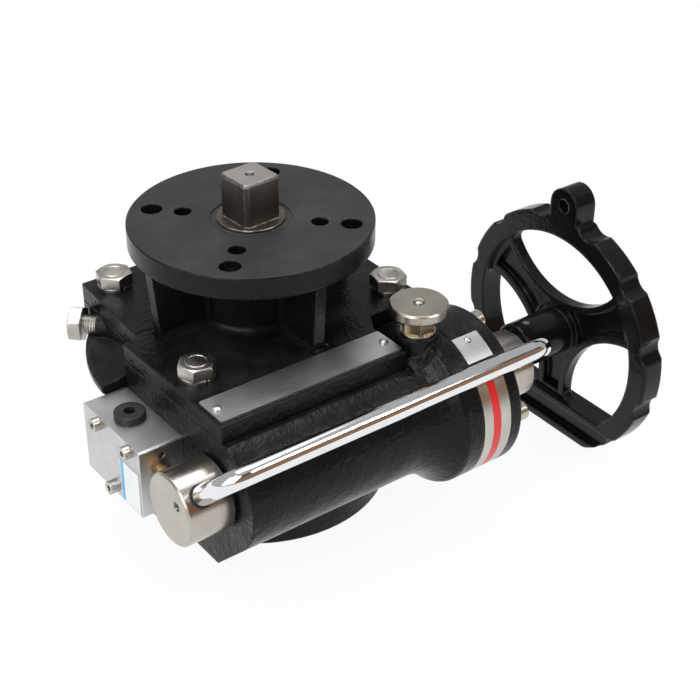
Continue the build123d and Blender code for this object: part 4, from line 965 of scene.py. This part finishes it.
plate_z, under_z, hub_r, web_half, web_foot, web_head = 103.0, 141.5, 30.0, 3.25, 57.5, 60.5
foot_cove, head_cove, hub_cove, hub_wall = 4.0, 3.0, 3.5, 29.7
coves = [(cove_ring(hub_r, plate_z, foot_cove), False),
         (cove_ring(hub_r, under_z, head_cove, over=-1), False)]
for quarter in range(4):
    turn = math.radians(90 * quarter)
    out = np.array((math.cos(turn), math.sin(turn), 0.0))
    left = np.array((-math.sin(turn), math.cos(turn), 0.0))
    for side in (-1, 1):
        wall_line = left * side * web_half
        for reach, level, over, size in ((web_foot, plate_z, upright, foot_cove),
                                         (web_head, under_z, -upright, head_cove)):
            coves.append((cove_grid(out * (hub_r - 1) + wall_line + upright * level,
                                    out * reach + wall_line + upright * level,
                                    left * side, over, size), False))
        coves.append((cove_grid(out * hub_wall + wall_line + upright * plate_z,
                                out * hub_wall + wall_line + upright * under_z,
                                left * side, out, hub_cove), False))
make_piece("pedestal_fillets", coves, "base", cove_paint)

# %% [markdown]
# Chrome rod
# The bent rod is what the hand takes to swing the lever.  It mirrors its surroundings, and
# the flat facets of the solid would break that mirror.  A curve with a bevel could stand
# in for it, but a grid keeps every point under control.  The centre line is two legs and a
# grasp joined by quarter bends, and a fine tube follows it in place of the solid.

# %% Chrome rod
rod_left, rod_right, rod_throw, rod_bend, rod_radius = -91.0, 103.5, 50.5, 13.0, 5.0
rod_turn = math.radians(137.0)
rod_out = np.array((0.0, math.cos(rod_turn), math.sin(rod_turn)))
rod_across = np.array((0.0, -math.sin(rod_turn), math.cos(rod_turn)))
rod_origin = np.array((0.0, tube_axis[1], tube_axis[2])) / mm
left_root, right_root, leg_steps, bend_steps, grasp_steps = 5.0, 9.3, 12, 25, 60


def rod_line():
    """Places (x, reach) along the legs, the bends and the grasp, where a bend's x and
    reach follow the sine and cosine of its turn."""
    bend = np.linspace(0, np.pi / 2, bend_steps)
    first_x = rod_left + rod_bend * (1 - np.cos(bend))
    first_r = rod_throw - rod_bend * (1 - np.sin(bend))
    last_x = rod_right - rod_bend * (1 - np.sin(bend))
    last_r = rod_throw - rod_bend * (1 - np.cos(bend))
    leg_up = np.linspace(left_root, rod_throw - rod_bend, leg_steps)[:-1]
    leg_down = np.linspace(rod_throw - rod_bend, right_root, leg_steps)[1:]
    grasp = np.linspace(rod_left + rod_bend, rod_right - rod_bend, grasp_steps)[1:-1]
    x = np.concatenate((np.full(len(leg_up), rod_left), first_x, grasp, last_x,
                        np.full(len(leg_down), rod_right)))
    reach = np.concatenate((leg_up, first_r, np.full(len(grasp), rod_throw), last_r, leg_down))
    return x, reach


along_x = np.array((1.0, 0.0, 0.0))
rod_x, rod_reach = rod_line()
centre_line = rod_origin + rod_x[:, None] * along_x + rod_reach[:, None] * rod_out
tangent = np.gradient(centre_line, axis=0)
tangent /= np.linalg.norm(tangent, axis=1)[:, None]
beside = np.cross(tangent, rod_across)
rod_grid = tube_grid(centre_line, rod_radius, beside,
                     np.broadcast_to(rod_across, centre_line.shape), 72)
chrome_rod = make_piece("lever_rod_chrome", [(rod_grid * mm, True)], "lever", chrome_finish)
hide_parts("lever_rod")

# %% [markdown]
# Rod seal
# A dark ring fills the gap where the rod enters the knob.  A flat ring would stand off
# the round knob at its sides.  So it follows the curve in which the rod's cylinder meets
# the knob's: at each turn the reach is the root of the knob radius squared less the
# sideways place squared.

# %% Rod seal
knob_radius, seal_radius, seal_half = 18.8, 5.35, 0.55
turn, section = np.meshgrid(np.linspace(0, 2 * np.pi, 64, endpoint=False),
                            np.linspace(0, 2 * np.pi, 12, endpoint=False), indexing="ij")
ring_r = seal_radius + seal_half * np.cos(section)
sideways = ring_r * np.sin(turn)
reach = np.sqrt(knob_radius ** 2 - sideways ** 2) + seal_half * 0.6 * np.sin(section)
seal_grid = (rod_origin + (rod_left + ring_r * np.cos(turn))[..., None] * along_x
             + sideways[..., None] * rod_across + reach[..., None] * rod_out)
seal_grid = np.concatenate((seal_grid, seal_grid[:1]))
make_piece("rod_seal", [(seal_grid * mm, True)], "lever", rubber_finish)

# %% [markdown]
# Plunger spring
# A small spring inside the plunger's body pushes it back into its hole.  The solid is only
# a ribbed sleeve, so the real coil takes its place: a tube round a helix, whose centre goes
# round at the coil radius while it climbs evenly.

# %% Plunger spring
spring_low, spring_high = box_mm("plunger_spring")
coil_radius, wire_radius, coil_turns, steps_per_turn, pull = 3.1, 0.4, 6, 28, 5.0
spring_centre = (spring_low + spring_high) / 2
turn = np.linspace(0, 2 * np.pi * coil_turns, coil_turns * steps_per_turn + 1)
climb = np.linspace(spring_low[2] + wire_radius, spring_high[2] - wire_radius, len(turn))
outward = np.stack((np.cos(turn), np.sin(turn), np.zeros(len(turn))), axis=-1)
coil = outward * coil_radius + np.stack((np.full(len(turn), spring_centre[0]),
                                         np.full(len(turn), spring_centre[1]), climb), axis=-1)
forwards = np.gradient(coil, axis=0)
forwards /= np.linalg.norm(forwards, axis=1)[:, None]
upward = np.cross(forwards, outward)
coil_grid = tube_grid(coil, wire_radius, outward, upward, 12)
coil_spring = make_piece("plunger_spring_coil", [(coil_grid * mm, True)], "base", steel_finish)
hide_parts("plunger_spring")
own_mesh(coil_spring)
